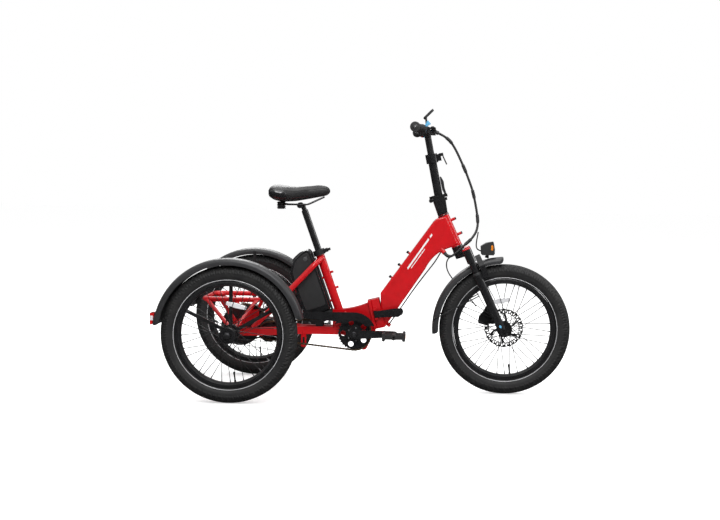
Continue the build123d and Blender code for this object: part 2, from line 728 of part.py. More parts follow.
with BuildPart() as stem_base:
    with BuildSketch(on_steering(head_half_length + 0.5)) as foot:
        Circle(21)
    with BuildSketch(on_post(-14)) as head:
        RectangleRounded(52, 46, 8)
    loft(Sketch() + [foot.sketch, head.sketch])
    block(on_post(-14.5), (49, 48), 14.2, centre=(-0.5, 0), corner=6)
    barrel(on_steering(head_half_length), steerer_radius, 19.3, mode=Mode.SUBTRACT)
    for low in (12, -24):
        rod(spot(on_post(-6), -34, low), spot(on_post(-6), -34, low + 12), 8)
        block(on_post(-12), (14, 12), 11, centre=(-31, low + 6))
    rod(spot(on_post(-6), -34, -24), spot(on_post(-6), -34, 24), 3.5)
    block(on_post(-14), (9, 16), 12, centre=(28, 0), corner=3)
stem_base.part.label = "stem_base"
export_step(stem_base.part, "parts/stem_base.step")

lower_axle = spot(on_steering(axle_down), axle_forward, 0)
lower_axle_xz = (lower_axle.X - rear_axle_x, lower_axle.Z)
print("front axle at", [round(v, 1) for v in lower_axle_xz], "wanted", (wheelbase, axle_height))

with BuildPart() as fork_lowers:
    for way in (-1, 1):
        barrel(on_steering(-474), lower_leg_radius, 474 + leg_top, leg_forward, way * leg_left)
        low, high = sorted((way * dropout_left, way * (dropout_left + 12)))
        with BuildSketch(side(high)) as dropout:
            with Locations((wheelbase, axle_height)):
                Circle(15)
            with Locations((wheelbase - 22, axle_height + 26)):
                Circle(13)
            make_hull()
        extrude(dropout.sketch, amount=high - low)
    arch_plane = Plane(spot(on_steering(), 49, 0), x_dir=(0, 1, 0), z_dir=on_steering().x_dir)
    plate(arch_plane, [(-76, -228), (-76, -176), (-52, -138), (52, -138), (76, -176), (76, -228), (45, -228),
                       (45, -159), (-45, -159), (-45, -228)], 22)
    for way in (-1, 1):
        block(on_steering(-228), (27, 26), 26, centre=(39.5, way * leg_left), corner=4)
    plate(side(58), [(1012, 372), (1030, 360), (1052, 290), (1030, 278), (984, 282), (984, 326)], 10)
    for way in (-1, 1):
        barrel(on_steering(-382), stanchion_radius + 0.06, 242, leg_forward, way * leg_left, mode=Mode.SUBTRACT)
    disc((wheelbase, axle_height), front_axle_radius + 0.06, -90, 90, mode=Mode.SUBTRACT)
fork_lowers.part.label = "fork_lowers"
export_step(fork_lowers.part, "parts/fork_lowers.step")

front_rotor_left = 38.0
caliper_angle = 155.0

with BuildPart() as front_caliper:
    outward = Vector(math.cos(math.radians(caliper_angle)), 0, math.sin(math.radians(caliper_angle)))
    caliper_side = Plane(at(wheelbase, 48, axle_height), x_dir=outward, z_dir=(0, -1, 0))
    plate(caliper_side, [(62, -20), (104, -28), (112, 0), (104, 28), (62, 20)], 20, corner=5)
    slot_side = Plane(at(wheelbase, front_rotor_left + 3, axle_height), x_dir=outward, z_dir=(0, -1, 0))
    plate(slot_side, [(50, -40), (88, -40), (88, 40), (50, 40)], 6, mode=Mode.SUBTRACT)
front_caliper.part.label = "front_caliper"
export_step(front_caliper.part, "parts/front_caliper.step")

with BuildPart() as front_fender:
    fender((wheelbase, axle_height), 0, 92, 184.5)
    for way in (-1, 1):
        rod(at(783.5, way * 34, 303), at(783.5, way * 41.5, 303), 2)
        rod(at(783.5, way * 41.5, 303), at(968, way * 46, 403), 2)
front_fender.part.label = "front_fender"
export_step(front_fender.part, "parts/front_fender.step")

with BuildPart() as headlamp:
    plate(side(24), [(970, 602), (972, 570), (977, 566), (1024, 566), (1027, 590), (1021, 621), (990, 615)], 48,
          corner=3)
    rod(at(999, 0, 570), at(996, 0, 556), 6)
    rod(at(997, 0, 562), at(995, 0, 554), 8)
headlamp.part.label = "headlamp"
export_step(headlamp.part, "parts/headlamp.step")

front_flange = 24.0
front_flange_radius = 31.0

with BuildPart() as front_tyre:
    tyre_casing(wheelbase, 0)
front_tyre.part.label = "front_tyre"
export_step(front_tyre.part, "parts/front_tyre.step")

with BuildPart() as front_rim:
    wheel_ring(wheelbase, 0, rim_section())
front_rim.part.label = "front_rim"
export_step(front_rim.part, "parts/front_rim.step")

with BuildPart() as front_hub:
    disc((wheelbase, axle_height), front_axle_radius, -83, 83)
    disc((wheelbase, axle_height), 15, -41, 41)
    for flange in (-1, 1):
        disc((wheelbase, axle_height), front_flange_radius, flange * front_flange - 1.6, flange * front_flange + 1.6)
    disc((wheelbase, axle_height), 22, front_flange, front_rotor_left - 1)
    for low in (-83, 77.3):
        disc((wheelbase, axle_height), 9, low, low + 5.7)
front_hub.part.label = "front_hub"
export_step(front_hub.part, "parts/front_hub.step")

with BuildPart() as front_spokes:
    spoke_set(wheelbase, 0, front_flange_radius - 3, front_flange)
front_spokes.part.label = "front_spokes"
export_step(front_spokes.part, "parts/front_spokes.step")

with BuildPart() as front_rotor:
    disc((wheelbase, axle_height), rotor_radius, front_rotor_left - 1, front_rotor_left + 1)
    disc((wheelbase, axle_height), 60, front_rotor_left - 1, front_rotor_left + 1, mode=Mode.SUBTRACT)
    disc((wheelbase, axle_height), 24, front_rotor_left - 1, front_rotor_left + 1)
    for n in range(6):
        turn = 2 * math.pi * n / 6
        inner = at(wheelbase + 20 * math.cos(turn), front_rotor_left, axle_height + 20 * math.sin(turn))
        outer = at(wheelbase + 64 * math.cos(turn + 0.3), front_rotor_left, axle_height + 64 * math.sin(turn + 0.3))
        rod(inner, outer, 1)
    disc((wheelbase, axle_height), 15, front_rotor_left - 2, front_rotor_left + 2, mode=Mode.SUBTRACT)
front_rotor.part.label = "front_rotor"
export_step(front_rotor.part, "parts/front_rotor.step")

# ---------------------------------------------------------------------------------------------
# Folding, telescoping handlebar post
# ---------------------------------------------------------------------------------------------
collar_low = 143.0
collar_high = 180.0
stem_latch_pivot = (30.0, 5.0)
quick_release_pivot = (44.5, 171.0)

with BuildPart() as stem_post:
    block(on_post(0), (52, 48), 12, centre=(-2, 0), corner=6)
    barrel(on_post(0), outer_post_radius, collar_high)
    barrel(on_post(collar_low), 24, collar_high - collar_low)
    block(on_post(collar_low + 4), (20, 24), 28, centre=(28, 0), corner=3)
    block(on_post(collar_low + 4), (40, 3), 28, centre=(38, 0), mode=Mode.SUBTRACT)
    rod(spot(on_post(-6), -34, -11.7), spot(on_post(-6), -34, 11.7), 8)
    block(on_post(0), (16, 22), 11, centre=(-30, 0))
    for way in (-1, 1):
        block(on_post(0.2), (16, 5), 12, centre=(28, way * 13.5), corner=2)
        block(on_post(collar_low + 22), (18, 4), 12, centre=(40, way * 13), corner=1.5)
    rod(spot(on_post(stem_latch_pivot[1]), stem_latch_pivot[0], -15), spot(on_post(stem_latch_pivot[1]),
        stem_latch_pivot[0], 15), 2)
    rod(spot(on_post(quick_release_pivot[1]), quick_release_pivot[0], -14), spot(on_post(quick_release_pivot[1]),
        quick_release_pivot[0], 14), 2)
    rod(spot(on_post(-6), -34, -12), spot(on_post(-6), -34, 12), 3.6, mode=Mode.SUBTRACT)
    barrel(on_post(14), inner_post_radius + 0.06, collar_high, mode=Mode.SUBTRACT)
stem_post.part.label = "stem_post"
export_step(stem_post.part, "parts/stem_post.step")

with BuildPart() as stem_latch:
    plate(leaning(post_base, post_lean, 10), [(26, 6), (34, 6), (30, 36), (31, 62), (25, 80), (18.4, 88), (18, 60),
                                              (19, 30)], 20, corner=2)
    rod(spot(on_post(stem_latch_pivot[1]), stem_latch_pivot[0], -10), spot(on_post(stem_latch_pivot[1]),
        stem_latch_pivot[0], 10), 4.8)
    rod(spot(on_post(stem_latch_pivot[1]), stem_latch_pivot[0], -11), spot(on_post(stem_latch_pivot[1]),
        stem_latch_pivot[0], 11), 2.1, mode=Mode.SUBTRACT)
stem_latch.part.label = "stem_latch"
export_step(stem_latch.part, "parts/stem_latch.step")

with BuildPart() as stem_clamp_lever:
    rod(spot(on_post(quick_release_pivot[1]), quick_release_pivot[0], -10), spot(on_post(quick_release_pivot[1]),
        quick_release_pivot[0], 10), 4.5)
    plate(leaning(post_base, post_lean, 8), [(49, 175), (49, 162), (58, 128), (53, 127), (44.5, 160), (44.5, 175)],
          16, corner=1)
    rod(spot(on_post(quick_release_pivot[1]), quick_release_pivot[0], -11), spot(on_post(quick_release_pivot[1]),
        quick_release_pivot[0], 11), 2.1, mode=Mode.SUBTRACT)
stem_clamp_lever.part.label = "stem_clamp_lever"
export_step(stem_clamp_lever.part, "parts/stem_clamp_lever.step")

bar_clamp_half = 24.0
bundle_exit = at(791, 0, 1056)
bundle_way = Vector(0.91, 0, -0.41).normalized()

with BuildPart() as handlebar_stem:
    barrel(on_post(inner_post_bottom), inner_post_radius, bar_height - inner_post_bottom)
    rod(spot(on_post(bar_height), 0, -bar_clamp_half), spot(on_post(bar_height), 0, bar_clamp_half), 21)
    rod(bundle_exit - bundle_way * 32, bundle_exit, 8)
    rod(spot(on_post(bar_height), 0, -30), spot(on_post(bar_height), 0, 30), bar_radius, mode=Mode.SUBTRACT)
handlebar_stem.part.label = "handlebar_stem"
export_step(handlebar_stem.part, "parts/handlebar_stem.step")

# ---------------------------------------------------------------------------------------------
# Handlebar, grips, controls and display
# ---------------------------------------------------------------------------------------------
bar_middle = spot(on_post(bar_height), 0, 0)
bar_corner_x = bar_middle.X - rear_axle_x


def on_bar(way, distance):
    """The plane square to one swept end of the bar; its y points up on the right, down on the left."""
    start = Vector(bar_middle.X, way * bar_centre_half, bar_middle.Z)
    outward = (at(bar_end[0], way * bar_end[1], bar_end[2]) - start).normalized()
    ahead = (Vector(1, 0, 0) - outward * outward.X).normalized()
    return Plane(start + outward * distance, x_dir=ahead, z_dir=outward)


bar_arm = (at(*bar_end) - Vector(bar_middle.X, bar_centre_half, bar_middle.Z)).length
grip_start = bar_arm - 130

with BuildPart() as handlebar:
    points = [at(bar_end[0], -bar_end[1], bar_end[2]), at(bar_corner_x, -bar_centre_half, bar_middle.Z),
              at(bar_corner_x, bar_centre_half, bar_middle.Z), at(*bar_end)]
    bent_rod(points, 60, bar_radius)
handlebar.part.label = "handlebar"
export_step(handlebar.part, "parts/handlebar.step")

with BuildPart() as grips:
    for way in (-1, 1):
        barrel(on_bar(way, grip_start), 16.5, 127)
        barrel(on_bar(way, bar_arm - 5), 20, 5)
        barrel(on_bar(way, grip_start), 20, 4)
        barrel(on_bar(way, grip_start - 1), bar_radius, 140, mode=Mode.SUBTRACT)
grips.part.label = "grips"
export_step(grips.part, "parts/grips.step")

lever_pivot = (34.0, 60.0)

with BuildPart() as control_clamps:
    for way in (-1, 1):
        barrel(on_bar(way, 44), 15.5, 14)
        block(on_bar(way, 44), (16, 16), 14, centre=(18, 0))
        barrel(on_bar(way, 20), 8.5, 42, 34, 0)
        for up in (-1, 1):
            block(on_bar(way, 52), (14, 3), 16, centre=(34, up * 9), corner=1)
        barrel(on_bar(way, 66), 18, 20)
        barrel(on_bar(way, 40), bar_radius, 50, mode=Mode.SUBTRACT)
        block(on_bar(way, 53), (24, 12.4), 30, centre=(38, 0), mode=Mode.SUBTRACT)
control_clamps.part.label = "control_clamps"
export_step(control_clamps.part, "parts/control_clamps.step")

for name, way in (("brake_lever_right", -1), ("brake_lever_left", 1)):
    with BuildPart() as brake_lever:
        pivot = on_bar(way, lever_pivot[1])
        rod(spot(pivot, lever_pivot[0] + 1, -6), spot(pivot, lever_pivot[0] + 1, 6), 4.5)
        rod(spot(pivot, lever_pivot[0] + 1, 0, 2), spot(pivot, lever_pivot[0] + 18, 0, 40), 4.5)
        rod(spot(pivot, lever_pivot[0] + 18, 0, 40), spot(pivot, lever_pivot[0] + 24, 0, 120), 5)
    brake_lever.part.label = name
    export_step(brake_lever.part, f"parts/{name}.step")

throttle_angle = 31.0

with BuildPart() as throttle_lever:
    ring = on_bar(-1, 86.4)
    barrel(ring, 18, 7.4)
    with BuildSketch(ring) as paddle:
        with BuildLine():
            a = math.radians(throttle_angle)
            b = math.radians(throttle_angle + 26)
            Polyline((10 * math.cos(a), 10 * math.sin(a)), (40 * math.cos(a), 40 * math.sin(a)),
                     (41 * math.cos(b), 41 * math.sin(b)), (10 * math.cos(b), 10 * math.sin(b)), close=True)
        make_face()
    extrude(paddle.sketch, amount=7.4)
    barrel(on_bar(-1, 86), bar_radius + 0.1, 12, mode=Mode.SUBTRACT)
throttle_lever.part.label = "throttle_lever"
export_step(throttle_lever.part, "parts/throttle_lever.step")

with BuildPart() as display:
    tilted = Plane(at(752, 0, 1130), x_dir=(0, 1, 0), z_dir=(-0.7, 0, 0.7))
    block(tilted, (74, 52), 7, corner=8)
    for way in (-1, 1):
        rod(at(739, way * 29, 1121), Vector(bar_middle.X, way * 29, bar_middle.Z + 12), 4)
        rod(Vector(bar_middle.X, way * 33, bar_middle.Z), Vector(bar_middle.X, way * 24.4, bar_middle.Z), 15)
    rod(Vector(bar_middle.X, -40, bar_middle.Z), Vector(bar_middle.X, 40, bar_middle.Z), bar_radius,
        mode=Mode.SUBTRACT)
display.part.label = "display"
export_step(display.part, "parts/display.step")

# ---------------------------------------------------------------------------------------------
# Saddle and seat post
# ---------------------------------------------------------------------------------------------
with BuildPart() as saddle:
    with BuildSketch(plan(760)):
        with BuildLine():
            nose = Line((356, 0), (355, 14))
            edge = Spline(nose @ 1, (330, 22), (270, 28), (215, 60), (170, 96), (130, 100), (106, 78), (102, 0))
            mirror(nose, about=Plane.XZ)
            mirror(edge, about=Plane.XZ)
        make_face()
    extrude(amount=90)
    with BuildSketch(side(120)) as profile:
        with BuildLine():
            crest = Spline((102, 819), (128, 840), (203, 831), (318, 840), (356, 818))
            Polyline(crest @ 1, (342, 801), (276, 786), (200, 774), (150, 772), (112, 792), crest @ 0)
        make_face()
    extrude(profile.sketch, amount=240, mode=Mode.INTERSECT)
saddle.part.label = "saddle"
export_step(saddle.part, "parts/saddle.step")

with BuildPart() as seatpost:
    barrel(on_seat(seat_post_bottom), seat_post_radius, 180 - seat_post_bottom)
    barrel(on_seat(170), 10, 30)
    rod(at(232, -24, 757), at(232, 24, 757), 12)
    for way in (-1, 1):
        rail = [at(146, way * 20, 766), at(180, way * 22, 760), at(262, way * 22, 760), at(330, way * 8, 792)]
        bent_rod(rail, [30, 40], 3.5)
        rod(at(154, way * 30, 771.6), at(154, way * 30, 742), 12)
        rod(at(154, 0, 752), at(154, way * 30, 752), 4)
        rod(at(154, way * 20, 752), at(154, way * 20, 766), 4)
seatpost.part.label = "seatpost"
export_step(seatpost.part, "parts/seatpost.step")

# ---------------------------------------------------------------------------------------------
# Cables that hang free
# ---------------------------------------------------------------------------------------------
upper_joint = at(876, 0, 962)
upper_way = Vector(0.43, 0, -0.9).normalized()
middle_joint = at(947, 0, 764)
middle_way = Vector(0.19, -0.05, -0.98).normalized()

cord_tube("cable_bundle_upper", [bundle_exit, bundle_exit + bundle_way * 38, upper_joint - upper_way * 45,
                                 upper_joint], cable_radius)
cord_tube("cable_bundle_middle", [upper_joint, upper_joint + upper_way * 53, at(918, 0, 867),
                                  middle_joint - middle_way * 52, middle_joint], cable_radius)
cord_tube("cable_bundle_lower", [middle_joint, middle_joint + middle_way * 50, at(955, -15, 669),
                                 at(934, -31, 634), at(904, -42, 608), at(874, -45, 578), at(852, -43, 560),
                                 gland + gland_way * 17.5, gland], cable_radius)
cord_tube("frame_cable", [at(808, 8, 572.7), at(785.5, 8, 533.7), at(749, 7, 486), at(722, 6, 450),
                          at(690, 5, 404.5), at(657, 6, 354.3), at(627.4, 5, 311.5), at(604.6, 4, 278.5)],
          hose_radius)
cord_tube("brake_hose", [spot(on_steering(-98), -26, 30), spot(on_steering(-98), -50, 32), at(831, 38, 524),
                         at(838, 43, 492), at(862, 47, 458), at(898, 50, 420), at(936, 52, 380),
                         at(958, 50, 350)], hose_radius)
cord_tube("lamp_cable", [at(958, -26, 660), at(953, -28, 632), at(950, -26, 605), at(955, -21, 588),
                         at(970, -15, 583)], hose_radius)
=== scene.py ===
# %% [markdown]
# # An adult tricycle, dressed for looks
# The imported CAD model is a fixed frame: every size and place below is read from it or given forward
# of the rear axle, left of the middle and up from the ground, in millimetres.  This file adds what
# CAD leaves out: tread, chain links, spiral wrap, a padded saddle, lenses, bolts and the finish of
# every surface.

# %% Load the frame
import math

import bmesh
import bpy
import numpy as np
from mathutils import Matrix, Vector


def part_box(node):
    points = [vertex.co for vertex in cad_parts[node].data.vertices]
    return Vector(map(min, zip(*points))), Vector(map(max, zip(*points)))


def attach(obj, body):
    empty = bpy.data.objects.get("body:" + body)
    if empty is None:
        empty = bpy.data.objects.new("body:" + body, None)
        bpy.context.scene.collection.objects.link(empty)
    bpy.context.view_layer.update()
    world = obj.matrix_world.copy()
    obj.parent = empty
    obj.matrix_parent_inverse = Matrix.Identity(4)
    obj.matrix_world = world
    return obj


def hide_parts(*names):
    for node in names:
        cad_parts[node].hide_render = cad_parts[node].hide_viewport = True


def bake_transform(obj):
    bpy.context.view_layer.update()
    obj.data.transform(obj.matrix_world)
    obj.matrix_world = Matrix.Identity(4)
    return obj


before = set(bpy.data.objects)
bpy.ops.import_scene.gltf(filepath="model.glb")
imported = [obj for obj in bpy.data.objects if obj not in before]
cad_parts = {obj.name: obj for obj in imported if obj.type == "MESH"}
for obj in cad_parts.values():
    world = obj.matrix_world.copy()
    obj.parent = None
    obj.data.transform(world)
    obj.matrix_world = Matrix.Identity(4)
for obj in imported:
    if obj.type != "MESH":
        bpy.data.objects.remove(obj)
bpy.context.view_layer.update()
low, high = (np.array(corner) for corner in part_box("rear_rim_right"))
rear_axle = (low + high) / 2
low, high = (np.array(corner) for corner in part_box("front_rim"))
front_axle = (low + high) / 2
wheelbase = (front_axle[0] - rear_axle[0]) * 1000
axle_height = rear_axle[2] * 1000
half_track = abs(rear_axle[1]) * 1000
print("wheelbase", round(wheelbase), "axle height", round(axle_height), "half track",
      round(half_track, 1))


AHEAD, LEFT, UP = (1, 0, 0), (0, 1, 0), (0, 0, 1)
SIDES = (("right", -1), ("left", 1))


def at(x, y, z):
    """A point in metres, given in millimetres forward of the rear axle, to the left and up."""
    return np.array([rear_axle[0] + x / 1000, y / 1000, z / 1000])


# %% [markdown]
# ## Camera
# The camera stands five metres to the tricycle's right with a short telephoto lens, turned three
# degrees and tipped a little down.  Its axes are built from those angles, so no target object is
# needed.

# %% Camera
CAMERA_PLACE = at(771, -5014, 864)
YAW, PITCH, ROLL = (math.radians(angle) for angle in (3.33, 3.73, 0.77))
forward = Vector((-math.sin(YAW) * math.cos(PITCH), math.cos(YAW) * math.cos(PITCH), -math.sin(PITCH)))
level_right = forward.cross(Vector(UP)).normalized()
level_up = level_right.cross(forward)
right = level_right * math.cos(ROLL) + level_up * math.sin(ROLL)
up = level_up * math.cos(ROLL) - level_right * math.sin(ROLL)
camera = bpy.data.objects.new("camera", bpy.data.cameras.new("camera"))
camera.data.lens = 61.5
camera.data.sensor_width = 36
facing = Matrix((right, up, -forward)).transposed().to_4x4()
camera.matrix_world = Matrix.Translation(CAMERA_PLACE) @ facing
bpy.context.collection.objects.link(camera)
bpy.context.scene.camera = camera
print("camera looks along", [round(v, 3) for v in forward])

# %% [markdown]
# ## Meshes from number grids
# Every new surface here is a grid of points: a formula of two parameters worked out for all points
# at once. One helper joins neighbouring points into quads, and can close the grid on itself either
# way round.

# %% Grids, tubes and turned shapes
def grid_faces(rows, columns, wrap_rows=False, wrap_columns=False):
    """Quads between neighbouring points of a rows x columns grid."""
    i, j = np.meshgrid(np.arange(rows if wrap_rows else rows - 1),
                       np.arange(columns if wrap_columns else columns - 1), indexing="ij")
    below, beside = (i + 1) % rows, (j + 1) % columns
    quads = np.stack([i * columns + j, below * columns + j, below * columns + beside,
                      i * columns + beside], -1)
    return quads.reshape(-1, 4).tolist()


def grid_shape(points, wrap_rows=False, wrap_columns=False, caps=False):
    """Points and faces of a grid; caps close a tube's two ends with a fan round their middles."""
    rows, columns = points.shape[:2]
    faces = grid_faces(rows, columns, wrap_rows, wrap_columns)
    flat = points.reshape(-1, 3)
    if caps:
        total = len(flat)
        flat = np.vstack([flat, points[0].mean(0), points[-1].mean(0)])
        last = (rows - 1) * columns
        faces += [[total, j, (j + 1) % columns] for j in range(columns)]
        faces += [[total + 1, last + (j + 1) % columns, last + j] for j in range(columns)]
    return flat, faces


def turned_shape(profile, steps=24, closed=False):
    """A profile of (radius, height) in millimetres turned round Z; a radius of 0 closes a pole."""
    radius, height = np.array(profile, float).T[:, :, None] / 1000
    turn = np.linspace(0, 2 * np.pi, steps, endpoint=False)
    points = np.stack([radius * np.cos(turn), radius * np.sin(turn), np.repeat(height, steps, 1)], -1)
    return grid_shape(points, wrap_rows=closed, wrap_columns=True)


def ring_shape(profile, steps=96):
    """A closed profile of (radius, height) turned round Z into a ring."""
    return turned_shape(profile, steps, closed=True)


def slab_shape(outline, low, high, edge=0.0):
    """An outline in XY raised from low to high in Z, rims drawn in by edge; all in millimetres."""
    outline = np.array(outline, float)
    middle = outline.mean(0)
    reach = np.linalg.norm(outline - middle, axis=1).max()
    inset = middle + (outline - middle) * (1 - edge / reach)
    levels = [(inset, low), (outline, low + edge), (outline, high - edge), (inset, high)]
    rings = np.stack([np.column_stack([ring, np.full(len(ring), z)]) for ring, z in levels])
    return grid_shape(rings / 1000, wrap_columns=True, caps=True)


def path_frames(path):
    """For each point of a path: its forward direction and two directions square to it."""
    ahead = np.gradient(path, axis=0)
    ahead /= np.linalg.norm(ahead, axis=1)[:, None]
    spread = np.ptp(path, axis=0)
    helper = np.eye(3)[np.argmin(spread)]
    one = np.cross(ahead, helper)
    one /= np.linalg.norm(one, axis=1)[:, None]
    return ahead, one, np.cross(ahead, one)


def tube_points(path, radius, sides=16):
    """A circle carried along a path; the radius may change along the path and round it."""
    path = np.array(path, float)
    _, one, two = path_frames(path)
    turn = np.linspace(0, 2 * np.pi, sides, endpoint=False)
    radius = np.asarray(radius, float)
    radius = radius[:, None] if radius.ndim == 1 else radius
    radius = np.broadcast_to(radius, (len(path), sides))[:, :, None]
    ring = np.cos(turn)[None, :, None] * one[:, None] + np.sin(turn)[None, :, None] * two[:, None]
    return path[:, None] + radius * ring


def tube_shape(path, radius, sides=16):
    """A tube along a path with both ends closed."""
    return grid_shape(tube_points(path, radius, sides), wrap_columns=True, caps=True)


def placed(shape, matrix):
    """A shape moved by a 4 x 4 matrix."""
    points, faces = shape
    return points @ matrix[:3, :3].T + matrix[:3, 3], faces


def axes_at(origin, z_axis, x_hint=UP):
    """The matrix that stands a shape at origin with its Z along z_axis and its X towards x_hint."""
    z = np.array(z_axis, float)
    z /= np.linalg.norm(z)
    x = np.array(x_hint, float) - z * np.dot(x_hint, z)
    if np.linalg.norm(x) < 1e-6:
        x = np.array([1.0, 0, 0]) - z * z[0]
    x /= np.linalg.norm(x)
    matrix = np.eye(4)
    matrix[:3] = np.column_stack([x, np.cross(z, x), z, origin])
    return matrix


def stood(shape, place, z_axis, x_hint=UP):
    """A shape stood at a place, with its Z along z_axis and its X towards x_hint."""
    return placed(shape, axes_at(place, z_axis, x_hint))


def joined(shapes):
    """Several shapes as one list of points and faces."""
    points, faces, start = [], [], 0
    for shape_points, shape_faces in shapes:
        points.append(shape_points)
        faces += [[start + i for i in face] for face in shape_faces]
        start += len(shape_points)
    return np.vstack(points), faces


def piece(name, shape, material, body, *nodes, merge=1e-6, wall=0.0, bevel=0.0, smooth=40):
    """Makes a mesh object from one shape or a list, with a finish, riding on its body."""
    points, faces = joined(shape) if isinstance(shape, list) else shape
    mesh = bpy.data.meshes.new(name)
    mesh.from_pydata(points.tolist(), [], faces)
    tidy = bmesh.new()
    tidy.from_mesh(mesh)
    bmesh.ops.delete(tidy, geom=[vertex for vertex in tidy.verts if not vertex.link_faces],
                     context="VERTS")
    bmesh.ops.remove_doubles(tidy, verts=tidy.verts, dist=merge)
    bmesh.ops.recalc_face_normals(tidy, faces=tidy.faces)
    if wall:
        bmesh.ops.solidify(tidy, geom=tidy.faces[:], thickness=wall)
        bmesh.ops.recalc_face_normals(tidy, faces=tidy.faces)
    tidy.to_mesh(mesh)
    tidy.free()
    mesh.polygons.foreach_set("use_smooth", np.ones(len(mesh.polygons), bool))
    mesh.set_sharp_from_angle(angle=math.radians(smooth))
    thing = bpy.data.objects.new(name, mesh)
    bpy.context.collection.objects.link(thing)
    mesh.materials.append(material)
    if bevel:
        soften = thing.modifiers.new("soft_edges", "BEVEL")
        soften.width = bevel
        soften.segments = 2
        soften.limit_method = "ANGLE"
    if body:
        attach(thing, body)
    if nodes:
        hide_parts(*nodes)
    return thing


# %% [markdown]
# ## Finishes
# Paint, plastic, rubber and metal all share two effects, so each is a node group built once:
# *Grain* roughens a surface and varies its gloss, and *Tint* drifts its colour between two tones.
# Both read object coordinates, so a pattern stays put on its piece whichever way the piece moves.

# %% Shared node groups
def group_of(name, inputs, outputs):
    """An empty shader node group with named sockets, and its input and output nodes."""
    tree = bpy.data.node_groups.new(name, "ShaderNodeTree")
    for label, kind, value in inputs:
        socket = tree.interface.new_socket(label, in_out="INPUT", socket_type=kind)
        if value is not None:
            socket.default_value = value
    for label, kind in outputs:
        tree.interface.new_socket(label, in_out="OUTPUT", socket_type=kind)
    return tree, tree.nodes.new("NodeGroupInput"), tree.nodes.new("NodeGroupOutput")


def node(tree, kind, links=None, **settings):
    """Adds a node, sets its properties or socket values by name, and links its inputs."""
    made = tree.nodes.new(kind)
    for key, value in settings.items():
        if hasattr(made, key):
            setattr(made, key, value)
        else:
            made.inputs[key.replace("_", " ")].default_value = value
    for key, source in (links or {}).items():
        tree.links.new(source, made.inputs[key])
    return made


grain, given, result = group_of("Grain", [("Scale", "NodeSocketFloat", 800.0),
                                          ("Depth", "NodeSocketFloat", 0.00003),
                                          ("Roughness", "NodeSocketFloat", 0.4),
                                          ("Variation", "NodeSocketFloat", 0.1),
                                          ("Stretch", "NodeSocketVector", None)],
                                [("Roughness", "NodeSocketFloat"), ("Normal", "NodeSocketVector")])
coordinates = node(grain, "ShaderNodeTexCoord")
stretched = node(grain, "ShaderNodeVectorMath",
                 {0: coordinates.outputs["Object"], 1: given.outputs["Stretch"]}, operation="MULTIPLY")
fine = node(grain, "ShaderNodeTexNoise", {"Vector": stretched.outputs[0],
                                          "Scale": given.outputs["Scale"]}, Detail=3.0)
broad = node(grain, "ShaderNodeTexNoise", {"Vector": coordinates.outputs["Object"]}, Scale=14.0,
             Detail=4.0)
bump = node(grain, "ShaderNodeBump", {"Height": fine.outputs[0], "Distance": given.outputs["Depth"]},
            Strength=1.0)
drift = node(grain, "ShaderNodeMath", {0: broad.outputs[0]}, operation="SUBTRACT")
drift.inputs[1].default_value = 0.5
rough = node(grain, "ShaderNodeMath", {0: drift.outputs[0], 1: given.outputs["Variation"],
                                       2: given.outputs["Roughness"]}, operation="MULTIPLY_ADD")
grain.links.new(rough.outputs[0], result.inputs["Roughness"])
grain.links.new(bump.outputs[0], result.inputs["Normal"])

tint, given, result = group_of("Tint", [("Color", "NodeSocketColor", None),
                                        ("Other", "NodeSocketColor", None),
                                        ("Scale", "NodeSocketFloat", 30.0),
                                        ("Amount", "NodeSocketFloat", 0.5)],
                               [("Color", "NodeSocketColor")])
coordinates = node(tint, "ShaderNodeTexCoord")
patches = node(tint, "ShaderNodeTexNoise", {"Vector": coordinates.outputs["Object"],
                                            "Scale": given.outputs["Scale"]}, Detail=5.0, Roughness=0.6)
spread = node(tint, "ShaderNodeMapRange", {"Value": patches.outputs[0]})
spread.inputs["From Min"].default_value = 0.35
spread.inputs["From Max"].default_value = 0.7
share = node(tint, "ShaderNodeMath", {0: spread.outputs[0], 1: given.outputs["Amount"]},
             operation="MULTIPLY")
mixed = node(tint, "ShaderNodeMix", data_type="RGBA")
tint.links.new(share.outputs[0], mixed.inputs["Factor"])
tint.links.new(given.outputs["Color"], mixed.inputs[6])
tint.links.new(given.outputs["Other"], mixed.inputs[7])
tint.links.new(mixed.outputs[2], result.inputs["Color"])
print("node groups:", [tree.name for tree in bpy.data.node_groups])


# %% One function for every plain finish
def finish(name, color, other, roughness, variation=0.1, grain_scale=900.0, depth=0.00002,
           tint_scale=30.0, amount=0.6, stretch=(1, 1, 1), **shader_values):
    """A finish from both groups; shader_values are set on the Principled shader's own sockets."""
    made = bpy.data.materials.new(name)
    made.use_nodes = True
    tree = made.node_tree
    shader = tree.nodes["Principled BSDF"]
    for key, value in shader_values.items():
        shader.inputs[key.replace("_", " ")].default_value = value
    surface = tree.nodes.new("ShaderNodeGroup")
    surface.node_tree = grain
    for key, value in (("Scale", grain_scale), ("Depth", depth), ("Roughness", roughness),
                       ("Variation", variation), ("Stretch", stretch)):
        surface.inputs[key].default_value = value
    tone = tree.nodes.new("ShaderNodeGroup")
    tone.node_tree = tint
    for key, value in (("Color", (*color, 1)), ("Other", (*other, 1)), ("Scale", tint_scale),
                       ("Amount", amount)):
        tone.inputs[key].default_value = value
    tree.links.new(surface.outputs["Roughness"], shader.inputs["Roughness"])
    tree.links.new(surface.outputs["Normal"], shader.inputs["Normal"])
    tree.links.new(tone.outputs["Color"], shader.inputs["Base Color"])
    return made


